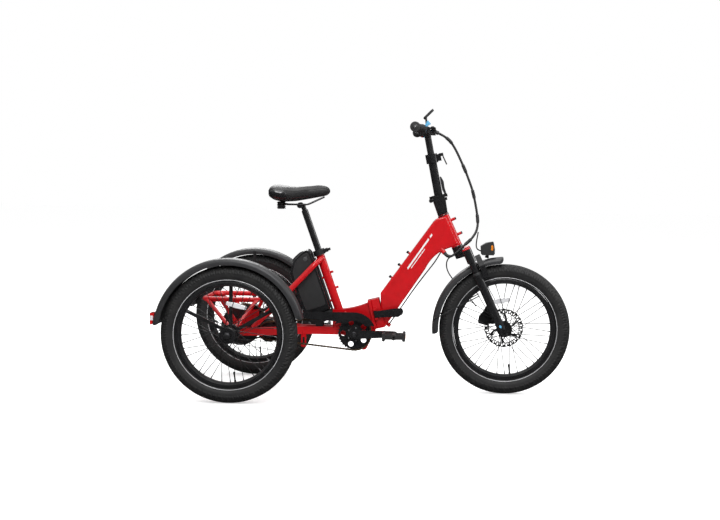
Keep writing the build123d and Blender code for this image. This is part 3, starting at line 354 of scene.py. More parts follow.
red_paint = finish("red_paint", (0.60, 0.0015, 0.006), (0.46, 0.001, 0.004), 0.34, 0.08, 1400, 0.000012,
                   Specular_IOR_Level=0.3, Coat_Weight=0.55, Coat_Roughness=0.05)
gloss_black = finish("gloss_black", (0.011, 0.011, 0.012), (0.018, 0.018, 0.019), 0.2, 0.08, 1200,
                     0.00001, Coat_Weight=0.6, Coat_Roughness=0.08)
satin_black = finish("satin_black", (0.014, 0.014, 0.015), (0.022, 0.022, 0.023), 0.36, 0.12, 1600,
                     0.00002)
hub_black = finish("hub_black", (0.02, 0.02, 0.021), (0.035, 0.035, 0.036), 0.3, 0.12, 900, 0.00002,
                   Metallic=0.6)
moulded_black = finish("moulded_black", (0.02, 0.02, 0.021), (0.028, 0.028, 0.029), 0.5, 0.14, 2600,
                       0.00006)
fender_black = finish("fender_black", (0.024, 0.024, 0.026), (0.034, 0.034, 0.036), 0.4, 0.1, 1800,
                      0.00003)
tyre_rubber = finish("tyre_rubber", (0.011, 0.011, 0.012), (0.024, 0.023, 0.022), 0.62, 0.16, 1500,
                     0.00008, tint_scale=22)
grip_rubber = finish("grip_rubber", (0.018, 0.018, 0.019), (0.03, 0.03, 0.03), 0.62, 0.14, 3000,
                     0.00006)
cable_rubber = finish("cable_rubber", (0.013, 0.013, 0.014), (0.022, 0.022, 0.022), 0.42, 0.1, 1500,
                      0.00003)
steel = finish("steel", (0.55, 0.55, 0.56), (0.42, 0.42, 0.43), 0.3, 0.16, 700, 0.00002,
               stretch=(1, 6, 1), Metallic=1.0)
dark_steel = finish("dark_steel", (0.10, 0.10, 0.105), (0.05, 0.05, 0.052), 0.34, 0.2, 700, 0.00002,
                    Metallic=0.9)
bronze_chain = finish("bronze_chain", (0.36, 0.27, 0.17), (0.16, 0.12, 0.08), 0.38, 0.2, 900, 0.00003,
                      Metallic=1.0)
brake_steel = finish("brake_steel", (0.22, 0.22, 0.225), (0.13, 0.13, 0.135), 0.32, 0.16, 900, 0.00002,
                     Metallic=1.0)
spoke_black = finish("spoke_black", (0.02, 0.02, 0.021), (0.03, 0.03, 0.031), 0.3, 0.1, 900, 0.00001,
                     Metallic=0.4)
anodised = finish("anodised", (0.03, 0.03, 0.032), (0.05, 0.05, 0.053), 0.32, 0.1, 1500, 0.00002,
                  Metallic=0.8)
blue_plastic = finish("blue_plastic", (0.16, 0.5, 0.78), (0.12, 0.42, 0.7), 0.3, 0.08, 1600, 0.00002)
saddle_leather = finish("saddle_leather", (0.016, 0.016, 0.017), (0.028, 0.027, 0.027), 0.46, 0.16, 420,
                        0.00025)
white_ink = finish("white_ink", (0.85, 0.85, 0.85), (0.78, 0.78, 0.78), 0.35, 0.08, 900, 0.00001,
                   Coat_Weight=0.5)
reflector = finish("reflector", (0.8, 0.8, 0.82), (0.62, 0.62, 0.65), 0.16, 0.06, 380, 0.0003,
                   Coat_Weight=1.0)
amber = finish("amber", (0.9, 0.28, 0.02), (0.75, 0.2, 0.01), 0.16, 0.06, 380, 0.0002, Coat_Weight=1.0)
red_lens = finish("red_lens", (0.62, 0.012, 0.012), (0.4, 0.006, 0.006), 0.14, 0.06, 380, 0.0003,
                  Coat_Weight=1.0)
screen = finish("screen", (0.006, 0.008, 0.010), (0.012, 0.014, 0.018), 0.08, 0.03, 900, 0.000004,
                Coat_Weight=1.0)
clear_lens = finish("clear_lens", (0.8, 0.82, 0.85), (0.6, 0.62, 0.66), 0.1, 0.04, 300, 0.0004,
                    Coat_Weight=1.0)
print("finishes:", len(bpy.data.materials))

# %% Finishes for the CAD nodes that stay
NODE_FINISH = {
    red_paint: ["rear_frame", "front_frame"],
    gloss_black: ["fork_crown", "stem_base", "stem_post", "seatpost", "crankset_right", "crank_left",
                  "frame_latch", "fork_lowers", "handlebar", "chain_guard"],
    satin_black: ["handlebar_stem", "stem_latch", "stem_clamp_lever", "seat_clamp_lever",
                  "seat_collar", "drive_motor", "rear_rim_right", "rear_rim_left", "front_rim",
                  "fender_stays"],
    hub_black: ["rear_hub_right", "rear_hub_left", "front_hub"],
    moulded_black: ["battery_dock", "battery", "display", "control_clamps", "headlamp",
                    "pedal_right", "pedal_left"],
    cable_rubber: ["frame_cable"],
    steel: ["bearings"],
    spoke_black: ["rear_spokes_right", "rear_spokes_left", "front_spokes"],
    dark_steel: ["differential", "jackshaft"],
    anodised: ["rear_caliper", "front_caliper", "brake_lever_right", "brake_lever_left"],
    blue_plastic: ["throttle_lever"],
    red_lens: ["tail_lights"],
}
for surface, names in NODE_FINISH.items():
    for name in names:
        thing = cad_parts[name]
        thing.data.materials.clear()
        thing.data.materials.append(surface)
        thing.data.set_sharp_from_angle(angle=math.radians(35))

# %% [markdown]
# ## Cords
# The cable bundle leaves the bar's head, bows out in front and dives under the frame's nose; a
# brake hose and a lamp lead hang beside the fork.  A smooth curve with a few control points gives
# each its line, and a tube is carried along points read from that curve.  Spiral wrap is part of
# the tube's own surface: its radius steps up along a helix.  Each tube is one fixed piece, on no body.

# %% Cords
def route_line(route, steps=14):
    """Points along a smooth NURBS curve whose control points are the route."""
    data = bpy.data.curves.new("route", "CURVE")
    data.dimensions = "3D"
    data.resolution_u = steps
    spline = data.splines.new("NURBS")
    spline.points.add(len(route) - 1)
    for point, place in zip(spline.points, route):
        point.co = (*place, 1)
    spline.order_u = 3
    spline.use_endpoint_u = True
    carrier = bpy.data.objects.new("route", data)
    bpy.context.collection.objects.link(carrier)
    bpy.context.view_layer.update()
    line = bpy.data.meshes.new_from_object(carrier)
    points = np.array([vertex.co for vertex in line.vertices])
    bpy.data.objects.remove(carrier)
    bpy.data.meshes.remove(line)
    return points


def run_along(line):
    """The distance along a line at each of its points."""
    return np.concatenate([[0], np.cumsum(np.linalg.norm(np.diff(line, axis=0), axis=1))])


def evenly(line, spacing):
    """The same line with points at even distances."""
    run = run_along(line)
    places = np.linspace(0, run[-1], max(3, int(run[-1] / spacing) + 1))
    return np.column_stack([np.interp(places, run, line[:, axis]) for axis in range(3)])


def wrapped_radius(line, radius, sides, pitch=0.008, raised=0.0007):
    """Spiral wrap: radius plus a step where (turn - run / pitch) falls in the strip's share of a turn.

    Short sleeves reach the full radius; between them the bundle is narrower by the depth given below.
    """
    turn = np.linspace(0, 1, sides, endpoint=False)[None, :]
    run = run_along(line)
    phase = (turn - run[:, None] / pitch) % 1.0
    strip = np.clip(np.minimum(phase, 0.72 - phase) / 0.07, 0, 1)
    to_sleeve = np.abs((run - 0.052 + 0.055) % 0.110 - 0.055)
    depth = 0.0020 * np.clip((to_sleeve - 0.014) / 0.005, 0, 1)
    return radius - raised - depth[:, None] + raised * strip


def hanging_cord(name, route, radius, wrapped=False):
    """A cord along a route, made as one fixed piece that rides on no body."""
    line = route_line(route)
    fine_line = evenly(line, 0.0011 if wrapped else 0.004)
    sides = 28 if wrapped else 12
    size = wrapped_radius(fine_line, radius, sides) if wrapped else radius
    cord = piece(name, tube_shape(fine_line, size, sides),
                 cable_rubber, None, name)
    cord.name = name + "_cord"
    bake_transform(cord)
    return cord


BUNDLE_RADIUS = 0.007
HOSE_RADIUS = 0.0025
hanging_cord("cable_bundle_upper", [at(791, 0, 1056), at(825.6, 0, 1040.4), at(856.6, 0, 1002.6),
                                    at(876, 0, 962)], BUNDLE_RADIUS,
             wrapped=True)
hanging_cord("cable_bundle_middle", [at(876, 0, 962), at(898.8, 0, 914.2), at(918, 0, 867),
                                     at(937.1, 2.6, 815), at(947, 0, 764)], BUNDLE_RADIUS,
             wrapped=True)
hanging_cord("cable_bundle_lower", [at(947, 0, 764), at(956.5, -2.5, 715), at(955, -15, 669),
                                    at(934, -31, 634), at(904, -42, 608), at(874, -45, 578),
                                    at(852, -43, 560), at(834, -36, 560), at(824, -28, 572)],
             BUNDLE_RADIUS, wrapped=True)
hanging_cord("brake_hose", [at(862.5, 30, 562.1), at(840.7, 32, 552), at(831, 38, 524),
                            at(838, 43, 492), at(862, 47, 458), at(898, 50, 420), at(936, 52, 380),
                            at(958, 50, 350)], HOSE_RADIUS)
hanging_cord("lamp_cable", [at(958, -26, 660), at(953, -28, 632), at(950, -26, 605), at(955, -21, 588),
                            at(970, -15, 583)], HOSE_RADIUS)

# %% [markdown]
# ## Floor and light
# A pale floor and a sky that is bright overhead and dark at the horizon stand in for a studio.
# Paint then keeps its full colour where it faces sideways, and shows long soft highlights where it
# turns upwards. The camera itself sees both as white, and the floor stays out of glossy
# reflections.

# %% Floor, sky and lamps
floor_mesh = bpy.data.meshes.new("floor")
floor_mesh.from_pydata([(-30, -30, 0), (30, -30, 0), (30, 30, 0), (-30, 30, 0)], [], [(0, 1, 2, 3)])
floor = bpy.data.objects.new("floor", floor_mesh)
bpy.context.collection.objects.link(floor)
pale = bpy.data.materials.new("pale_floor")
pale.use_nodes = True
cloth = pale.node_tree.nodes["Principled BSDF"]
cloth.inputs["Base Color"].default_value = (0.9, 0.9, 0.9, 1)
cloth.inputs["Roughness"].default_value = 0.9
cloth.inputs["Specular IOR Level"].default_value = 0.1
cloth.inputs["Emission Color"].default_value = (1, 1, 1, 1)
seen = pale.node_tree.nodes.new("ShaderNodeLightPath")
glow = node(pale.node_tree, "ShaderNodeMath", {0: seen.outputs["Is Camera Ray"]}, operation="MULTIPLY")
glow.inputs[1].default_value = 0.46
pale.node_tree.links.new(glow.outputs[0], cloth.inputs["Emission Strength"])
floor_mesh.materials.append(pale)
floor.visible_glossy = False

world = bpy.data.worlds.new("studio")
bpy.context.scene.world = world
world.use_nodes = True
sky = world.node_tree.nodes["Background"]
sky.inputs["Color"].default_value = (1, 1, 1, 1)
direction = world.node_tree.nodes.new("ShaderNodeTexCoord")
parts = node(world.node_tree, "ShaderNodeSeparateXYZ", {0: direction.outputs["Generated"]})
dome = node(world.node_tree, "ShaderNodeMapRange", {"Value": parts.outputs["Z"]})
for key, value in (("From Min", 0.05), ("From Max", 0.75), ("To Min", 0.03), ("To Max", 0.75)):
    dome.inputs[key].default_value = value
seen = world.node_tree.nodes.new("ShaderNodeLightPath")
strength = node(world.node_tree, "ShaderNodeMath",
                {0: dome.outputs[0], 1: seen.outputs["Is Camera Ray"]}, operation="MAXIMUM")
world.node_tree.links.new(strength.outputs[0], sky.inputs["Strength"])
bpy.context.scene.view_settings.view_transform = "Standard"


def lamp(name, place, target, size, power):
    """A square area lamp that faces a point."""
    data = bpy.data.lights.new(name, "AREA")
    data.size = size
    data.energy = power
    thing = bpy.data.objects.new(name, data)
    away = Vector(place) - Vector(target)
    thing.matrix_world = Matrix.Translation(place) @ away.to_track_quat("Z", "Y").to_matrix().to_4x4()
    bpy.context.collection.objects.link(thing)


lamp("overhead", (0.1, -0.2, 3.4), (0, 0, 0.4), 2.4, 40)
lamp("right_high", (0.4, -3.6, 3.2), (0.1, 0, 0.5), 2.0, 100)
lamp("left_high", (-0.8, 3.6, 3.0), (0, 0, 0.5), 2.0, 75)
lamp("front_high", (3.8, 0.6, 2.4), (0, 0, 0.6), 1.4, 35)

# %% [markdown]
# ## Tyres
# A tyre is one closed grid: round the wheel in one direction, and from bead over the tread to bead
# and back inside in the other.  The tread is a height worked out from the distance round the wheel
# and the distance from the middle: two zigzag grooves, slanted side grooves and fine sidewall
# rings.

# %% Tyres
TYRE_RADIUS, TYRE_HALF_WIDTH, CASING = 265.0, 33.0, 4.0
TREAD_DEPTH, TREAD_HALF, BLOCK = 2.8, 50.0, 23.0


def step_up(value, low, high):
    """0 below low, 1 above high and a smooth rise between."""
    t = np.clip((value - low) / (high - low), 0, 1)
    return t * t * (3 - 2 * t)


def tread_height(around, across):
    """Height from 0 to 1: blocks, less grooves where a distance to a groove's line is small."""
    side_way = np.abs(across)
    zigzag = np.abs(((around / BLOCK) % 1.0) - 0.5) * 2
    middle = step_up(np.abs(side_way - 7.5 - 3.0 * zigzag), 0.9, 1.9)
    shoulder = step_up(np.abs(side_way - 24.0 + 2.5 * zigzag), 0.8, 1.8)
    slant = (around + 0.8 * side_way) / BLOCK
    to_groove = np.abs(((slant + 0.5) % 1.0) - 0.5) * BLOCK
    cut = step_up(to_groove, 1.5, 2.7)
    cut = np.where(side_way < 10, 1.0, cut)
    sipe = np.abs((((around * 2 + 0.3 * side_way) / BLOCK) % 1.0) - 0.5) * BLOCK / 2
    cut = np.where(side_way > 26, np.minimum(cut, step_up(sipe, 0.7, 1.5)), cut)
    edge = 1 - step_up(side_way, TREAD_HALF - 3, TREAD_HALF)
    return np.minimum(np.minimum(middle, shoulder), cut) * edge


def tyre_shape(centre, steps=660, outer=54, inner=14):
    """Section circle of the casing carried round the axle, with the tread raised on its outside."""
    limit = math.radians(147)
    section = np.concatenate([np.linspace(-limit, limit, outer), np.linspace(limit, -limit, inner)])
    outside = np.arange(outer + inner) < outer
    turn = np.linspace(0, 2 * np.pi, steps, endpoint=False)
    around, across = np.meshgrid(turn * TYRE_RADIUS, section * TYRE_HALF_WIDTH, indexing="ij")
    rings = 0.35 * np.cos(np.clip((np.abs(np.degrees(section)) - 82) / 9, 0, 4) * 2 * np.pi)
    relief = TREAD_DEPTH * (tread_height(around, across) - 1) + rings[None, :] - 0.35
    size = np.where(outside[None, :], TYRE_HALF_WIDTH + relief, TYRE_HALF_WIDTH - CASING - 1.5)
    reach = TYRE_RADIUS - TYRE_HALF_WIDTH + size * np.cos(section)
    side_way = size * np.sin(section)
    x = centre[0] + reach * np.cos(turn)[:, None] / 1000
    z = centre[2] + reach * np.sin(turn)[:, None] / 1000
    return grid_shape(np.stack([x, centre[1] + side_way / 1000, z], -1), wrap_rows=True,
                      wrap_columns=True)


def axle_at(left):
    """The middle of a rear wheel."""
    return np.array([rear_axle[0], left / 1000, rear_axle[2]])


WHEELS = {"rear_right": (axle_at(-half_track), "wheel_rear_right", "rear_tyre_right"),
          "rear_left": (axle_at(half_track), "wheel_rear_left", "rear_tyre_left"),
          "front": (front_axle, "front_wheel", "front_tyre")}
for name, (centre, body, tyre_node) in WHEELS.items():
    tyre = piece(f"{name}_tread_tyre", tyre_shape(centre), tyre_rubber, body, tyre_node, smooth=60)
print("tyre faces", len(tyre.data.polygons))

# %% Painted highlight rings above the beads
# Thin white rings in the reflector finish, just outside each rim edge, are a painted highlight: they
# stand in for the shine along the rim edges.
line_angle = math.radians(128.5)
line_radius = TYRE_RADIUS - TYRE_HALF_WIDTH + (TYRE_HALF_WIDTH - 0.2) * math.cos(line_angle)
line_left = (TYRE_HALF_WIDTH - 0.2) * math.sin(line_angle)
bead_turn = np.linspace(0, 2 * np.pi, 8, endpoint=False)
for name, (centre, body, _) in WHEELS.items():
    rings = []
    for way in (-1, 1):
        profile = [(line_radius + 0.85 * math.cos(a), way * line_left + 0.85 * math.sin(a))
                   for a in bead_turn]
        rings.append(stood(ring_shape(profile, 240), centre, LEFT, AHEAD))
    piece(f"{name}_painted_highlight_rings", rings, reflector, body)

# %% [markdown]
# ## On the wheels
# Nipples where the spokes meet the rim, a valve, a clip-on reflector and a smooth black edge on
# each rim.  One small shape is copied by a list of matrices, so a wheel's thirty-six nipples are
# one mesh.

# %% Nipples, valves, reflectors and rim edges
SPOKES_PER_FLANGE = 18
RIM_RADIUS, FLANGE_RADIUS, FLANGE_LEFT, REFLECTOR_RADIUS = 186.0, 30, 26, 115
SPOKE_SWEEP = math.radians(42)


def wheel_point(centre, angle, radius, left):
    """A point on a wheel by angle, radius and distance to the left, in millimetres."""
    return centre + np.array([radius * math.cos(angle), left, radius * math.sin(angle)]) / 1000


def outward(angle):
    """Away from the axle at an angle."""
    return np.array([math.cos(angle), 0.0, math.sin(angle)])


nipple = turned_shape([(0, 0), (2.1, 0), (2.1, 5), (1.4, 13), (0, 13)], 8)
valve = turned_shape([(0, 0), (4.2, 0), (4.2, 8), (3, 10), (3, 30), (3.8, 31), (3.8, 40), (2, 42),
                      (0, 42)], 16)
reflector_outline = [(x, 9.5 * s * (1 - 0.3 * abs(x) / 40)) for s in (-1, 1)
                     for x in np.linspace(-40, 40, 7) * -s]
rim_edge = [(205.6, 16.2), (205.6, 19.2), (204.6, 19.6), (194, 19.6), (193.5, 18.8), (204, 16)]
for name, (centre, body, _) in WHEELS.items():
    nipples = []
    for flange in (-1, 1):
        for n in range(SPOKES_PER_FLANGE):
            lean = 1 if n % 2 else -1
            hub_angle = 2 * math.pi * (n + (0.5 if flange > 0 else 0)) / SPOKES_PER_FLANGE
            angle = hub_angle + lean * SPOKE_SWEEP
            foot = wheel_point(centre, angle, RIM_RADIUS + 0.5, flange * 3.0 + lean * 0.8)
            inward = wheel_point(centre, hub_angle, FLANGE_RADIUS, flange * FLANGE_LEFT) - foot
            nipples.append(stood(nipple, foot, inward, LEFT))
    piece(f"{name}_nipples", nipples, dark_steel, body)
    valve_angle = math.radians(-82)
    foot = wheel_point(centre, valve_angle, RIM_RADIUS + 1, 0)
    piece(f"{name}_valve", stood(valve, foot, -outward(valve_angle), LEFT), moulded_black, body)
    angle = math.radians(99.5 if name == "front" else 76)
    along = np.array([-math.sin(angle), 0, math.cos(angle)])
    plate_shape = slab_shape(reflector_outline, -7.5, 7.5, 2)
    piece(f"{name}_reflector", stood(plate_shape, wheel_point(centre, angle, REFLECTOR_RADIUS, 0), LEFT,
                                     along), reflector, body, bevel=0.0006)
    for side_name, way in SIDES:
        edge = ring_shape([(radius, way * height) for radius, height in rim_edge], 160)
        piece(f"{name}_rim_edge_{side_name}", stood(edge, centre, LEFT, AHEAD), gloss_black, body)

# %% [markdown]
# ## Fenders
# A mudguard is a rounded channel swept round the wheel.  Its section is a superellipse, which has
# the flat crown and soft shoulders of a moulded part, and near each tip the sides run out and the
# crown narrows.

# %% Fenders
CROWN_RADIUS, SKIRT, FENDER_HALF = 294.4, 26.0, 38.6
EDGE, TOP, TIP_DEGREES = 0.62, 0.45, 3.5


def fender_shape(centre, start, end, steps=110, across=34):
    """Channel: y = half sin(t)^EDGE, R = crown - skirt (1 - cos(t)^TOP), tapering near both tips."""
    angle = np.radians(np.linspace(start, end, steps))[:, None]
    t = np.linspace(-np.pi / 2, np.pi / 2, across)[None, :]
    to_tip = np.degrees(np.minimum(angle - angle[0], angle[-1] - angle))
    taper = np.sqrt(np.clip(to_tip / TIP_DEGREES, 0, 1) * (2 - np.clip(to_tip / TIP_DEGREES, 0, 1)))
    depth = SKIRT * (0.45 + 0.55 * taper)
    half = FENDER_HALF * (0.80 + 0.20 * taper)
    left = half * np.sign(t) * np.abs(np.sin(t)) ** EDGE
    reach = CROWN_RADIUS - depth * (1 - np.abs(np.cos(t)) ** TOP)
    x = centre[0] + reach * np.cos(angle) / 1000
    z = centre[2] + reach * np.sin(angle) / 1000
    return grid_shape(np.stack([x, centre[1] + left / 1000 + 0 * x, z], -1))


FENDERS = [("rear_right", -half_track, "rear_frame", "rear_fender_right", (13.2, 173.4), rear_axle[0]),
           ("rear_left", half_track, "rear_frame", "rear_fender_left", (13.2, 173.4), rear_axle[0]),
           ("front", 0.0, "fork_lowers", "front_fender", (92.0, 184.5), front_axle[0])]
for name, left, body, cad_node, (start, end), axle_x in FENDERS:
    centre = np.array([axle_x, left / 1000, rear_axle[2]])
    shell = piece(f"{name}_mudguard", fender_shape(centre, start, end), fender_black, body, cad_node,
                  wall=0.002)
wires = []
for way in (-1, 1):
    line = evenly(np.array([at(783.5, way * 38, 303), at(790, way * 43, 307), at(968, way * 46, 403)]),
                  0.006)
    wires.append(tube_shape(line, 0.0022, 10))
piece("front_mudguard_wires", wires, gloss_black, "fork_lowers")

# %% [markdown]
# ## Saddle
# A saddle is foam under a taut cover.  Its start is a surface of two parameters, nose to tail and
# round the section; then the cover is blown up slightly as cloth, so that it swells between its
# edges as foam does.

# %% Saddle
SADDLE_X = [103, 110, 130, 170, 215, 270, 320, 343, 352, 355.5]
SADDLE_HALF = [30, 76, 97, 94, 60, 27, 22, 18, 13, 6]
SADDLE_TOP = [814, 831, 840, 834, 830, 835, 839.5, 836, 828, 822]
SADDLE_LOW = [800, 790, 777, 773, 776, 786, 796, 801, 808, 813]
WIDE, TALL = 0.8, 0.75
seat_length = np.linspace(0, 1, 90)
x = 103 + 252 * (0.5 - 0.5 * np.cos(np.pi * seat_length))


def smoothly(values):
    """The outline's values at every x, rounded by a short running mean."""
    line = np.interp(x, SADDLE_X, values)
    window = np.hanning(9) / np.hanning(9).sum()
    return np.convolve(np.pad(line, 4, mode="edge"), window, mode="valid")


half, crest, floor_line = smoothly(SADDLE_HALF), smoothly(SADDLE_TOP), smoothly(SADDLE_LOW)
turn = np.linspace(0, 2 * np.pi, 64, endpoint=False)
middle_height = floor_line * 0.55 + crest * 0.45
rise = np.where(np.sin(turn)[None, :] > 0, (crest - middle_height)[:, None],
                (middle_height - floor_line)[:, None])
left = half[:, None] * np.sign(np.cos(turn)) * np.abs(np.cos(turn)) ** WIDE
height = middle_height[:, None] + rise * np.sign(np.sin(turn)) * np.abs(np.sin(turn)) ** TALL
between_ends = step_up(x, 130, 190) * (1 - step_up(x, 250, 320))
channel = 3.0 * np.exp(-(left / 8) ** 2) * between_ends[:, None]
height = height - channel * (np.sin(turn)[None, :] > 0.3)
grid = np.stack([rear_axle[0] + np.repeat(x[:, None], 64, 1) / 1000, left / 1000, height / 1000], -1)
saddle = piece("padded_saddle", grid_shape(grid, wrap_columns=True, caps=True), saddle_leather, None)


def swell(thing, voxel, cap, frames=16):
    """Blows a closed mesh up slightly as cloth, and lets no point move further than cap."""
    remesh = thing.modifiers.new("even_faces", "REMESH")
    remesh.voxel_size = voxel
    bpy.context.view_layer.update()
    graph = bpy.context.evaluated_depsgraph_get()
    thing.data = bpy.data.meshes.new_from_object(thing.evaluated_get(graph))
    thing.modifiers.clear()
    start = np.array([vertex.co for vertex in thing.data.vertices])
    cloth = thing.modifiers.new("cover", "CLOTH")
    cloth.settings.use_pressure = True
    cloth.settings.uniform_pressure_force = 4.0
    cloth.settings.effector_weights.gravity = 0.0
    cloth.settings.quality = 4
    cloth.point_cache.frame_start = 1
    cloth.point_cache.frame_end = frames
    for number in range(1, frames + 1):
        bpy.context.scene.frame_set(number)
    graph = bpy.context.evaluated_depsgraph_get()
    swollen = bpy.data.meshes.new_from_object(thing.evaluated_get(graph))
    end = np.array([vertex.co for vertex in swollen.vertices])
    thing.modifiers.clear()
    bpy.context.scene.frame_set(1)
    move = end - start
    size = np.linalg.norm(move, axis=1)
    move *= (np.minimum(size, cap) / np.maximum(size, 1e-9))[:, None]
    thing.data.vertices.foreach_set("co", (start + move).ravel())
    thing.data.update()
    print("cover moved up to", round(size.max() * 1000, 1), "mm, kept under", cap * 1000)


swell(saddle, 0.0045, 0.0025)
saddle.data.polygons.foreach_set("use_smooth", np.ones(len(saddle.data.polygons), bool))
subdivide = saddle.modifiers.new("smooth_cover", "SUBSURF")
subdivide.levels = subdivide.render_levels = 1
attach(saddle, "seat")
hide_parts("saddle")


# %% Saddle side shells
def shell_grid(way, along=26, across=18):
    """A patch of the cover, lifted off it: turn = centre + reach * v * sqrt(1 - u^4)."""
    u = np.linspace(-0.985, 0.985, along)[:, None]
    v = np.linspace(-1, 1, across)[None, :]
    patch_x = np.broadcast_to(149 + 35 * u, (along, across))
    patch_turn = math.radians(-10) + math.radians(33) * v * np.sqrt(1 - u ** 4)
    wide, top, bottom, mid = (np.interp(patch_x, x, values)
                              for values in (half, crest, floor_line, middle_height))
    left = way * wide * np.cos(patch_turn) ** WIDE
    rise = np.where(patch_turn > 0, top - mid, mid - bottom)
    up_by = rise * np.sign(patch_turn) * np.abs(np.sin(patch_turn)) ** TALL
    points = np.stack([rear_axle[0] + patch_x / 1000, left / 1000, (mid + up_by) / 1000],
                      -1).reshape(-1, 3)
    hits = [saddle.closest_point_on_mesh(Vector(point)) for point in points]
    lift = (0.0011 * np.sqrt(np.clip(1 - u ** 4, 0, 1) * (1 - v ** 4))).ravel() + 0.0002
    lifted = np.array([hit[1] + hit[2] * amount for hit, amount in zip(hits, lift)])
    return lifted.reshape(along, across, 3)


for side_name, way in SIDES:
    piece(f"saddle_side_shell_{side_name}", grid_shape(shell_grid(way)), gloss_black, "seat",
          wall=0.0014)

# %% Saddle seams
seam_turn = math.radians(24)
for side_name, way in SIDES:
    rows = slice(5, 84)
    seam = np.column_stack([
        rear_axle[0] + x[rows] / 1000,
        way * half[rows] * math.cos(seam_turn) ** WIDE / 1000,
        (middle_height[rows] + (crest - middle_height)[rows] * math.sin(seam_turn) ** TALL) / 1000])
    on_cover = np.array([saddle.closest_point_on_mesh(Vector(point))[1] for point in seam])
    piece(f"saddle_seam_{side_name}", tube_shape(on_cover, 0.0011, 8),
          grip_rubber, "seat")

# %% Saddle skirt and springs
rows = slice(2, 66)
skirt_turn = np.linspace(-2.75, -0.39, 40)
skirt_left = half[rows, None] * 0.985 * np.sign(np.cos(skirt_turn)) * np.abs(np.cos(skirt_turn)) ** WIDE
skirt_height = middle_height[rows, None] - (middle_height - floor_line)[rows, None] * np.abs(
    np.sin(skirt_turn)) ** TALL - 0.9
skirt = np.stack([rear_axle[0] + np.repeat(x[rows, None], 40, 1) / 1000, skirt_left / 1000,
                  skirt_height / 1000], -1)
piece("saddle_skirt", grid_shape(skirt), gloss_black, "seat", wall=0.0018)
springs = []
for way in (-1, 1):
    t = np.linspace(0, 1, 120)
    wound = 8 * np.pi * t
    coil = at(154, way * 30, 743) + np.column_stack([0.0132 * np.cos(wound), 0.0132 * np.sin(wound),
                                                     0.027 * t])
    springs.append(tube_shape(coil, 0.0017, 8))
piece("saddle_springs", springs, dark_steel, "seat")

# %% [markdown]
# ## Handlebar
# Both ends of the bar sweep back, so each side has its own frame: d runs out along the bar, f
# points ahead and u is square to both.  Grips are turned round d with fine ribs, lever blades are
# flat outlines with round rims.

# %% Frames along the bar, the steering axis and the seat tube
BAR_MIDDLE = at(743.7, 0, 1061.7)


def bar_frame(way):
    """Origin and unit vectors (ahead, up, outward) of one swept end of the bar."""
    start = BAR_MIDDLE + [0, way * 0.085, 0]
    outward_way = at(700, way * 305, 1069) - start
    outward_way /= np.linalg.norm(outward_way)
    ahead = np.array([1.0, 0, 0]) - outward_way * outward_way[0]
    ahead /= np.linalg.norm(ahead)
    above = np.cross(ahead, outward_way) * -way
    return start, ahead, above, outward_way


def on_bar(way, f, u, d):
    """A point by its millimetres ahead, above and outward along one end of the bar."""
    start, ahead, above, outward_way = bar_frame(way)
    return start + (ahead * f + above * u + outward_way * d) / 1000


def bar_matrix(way, f, u, d, z_axis="outward", x_axis="ahead"):
    """A placing matrix on one end of the bar."""
    _, ahead, above, outward_way = bar_frame(way)
    named = {"ahead": ahead, "above": above, "outward": outward_way}
    return axes_at(on_bar(way, f, u, d), named[z_axis], named[x_axis])


def leaning_frame(origin, lean):
    """Forward and upward unit vectors of an axis that leans back by an angle."""
    lean = math.radians(lean)
    ahead, above = [math.cos(lean), 0, math.sin(lean)], [-math.sin(lean), 0, math.cos(lean)]
    return origin, np.array(ahead), np.array(above)


def in_frame(axis, f, left, t):
    """A point by millimetres forward, left and up along a leaning axis."""
    origin, ahead, above = axis
    return origin + (ahead * f + np.array([0, 1.0, 0]) * left + above * t) / 1000


STEERING = leaning_frame(at(845, 0, 662), 24.8)
SEAT = leaning_frame(at(310.5, 0, 567.5), 19.8)


def bored_profile(outer, bore):
    """A closed ring profile: outer points (radius, height), then back down the bore."""
    outer = list(outer)
    return outer + [(bore, outer[-1][1]), (bore, outer[0][1])]


# %% Grips
def grip_shape(steps=120):
    """Grip bored for the bar: r = 15.6 + 0.7 sin(pi t), plus 0.5 cos(20 turn) where it is ribbed."""
    height = np.concatenate([[94.4, 94.8, 98.0, 98.6], np.linspace(100.5, 216.5, 90),
                             [218.6, 219.4, 224.0, 224.4]])
    t = np.clip((height - 98) / 120, 0, 1)
    flange = (height < 98.3) | (height > 219)
    radius = np.where(flange, 19.6, 15.6 + 0.7 * np.sin(np.pi * t))
    radius[[0, -1]] = 18.9
    turn = np.linspace(0, 2 * np.pi, steps, endpoint=False)
    ribbed = (~flange) & ((height % 31) > 4.5) & (height > 101) & (height < 216)
    slots = 0.5 * np.cos(20 * turn)[None, :] * ribbed[:, None]
    outer = (radius[:, None] + slots) / 1000
    reach = np.vstack([outer, np.full((2, steps), 0.0113)])
    level = np.concatenate([height, [224.4, 94.4]])[:, None] / 1000
    points = np.stack([reach * np.cos(turn), reach * np.sin(turn), np.broadcast_to(level, reach.shape)],
                      -1)
    return grid_shape(points, wrap_rows=True, wrap_columns=True)


grip = grip_shape()
grips = [placed(grip, bar_matrix(way, 0, 0, 0)) for way in (-1, 1)]
piece("ribbed_grips", grips, grip_rubber, "handlebar", "grips", smooth=50)
plug = turned_shape([(0, 223.5), (11.2, 223.5), (11.2, 224.8), (10, 225.6), (0, 225.6)], 32)
piece("bar_end_plugs", [placed(plug, bar_matrix(way, 0, 0, 0)) for way in (-1, 1)], moulded_black,
      "handlebar")
screw = turned_shape([(0, 226.8), (1.8, 226.8), (2.2, 227.4), (3.8, 227.2), (4.4, 226.2), (4.4, 225),
                      (0, 225)], 24)
piece("bar_end_screws", [placed(screw, bar_matrix(way, 0, 0, 0)) for way in (-1, 1)], steel,
      "handlebar")
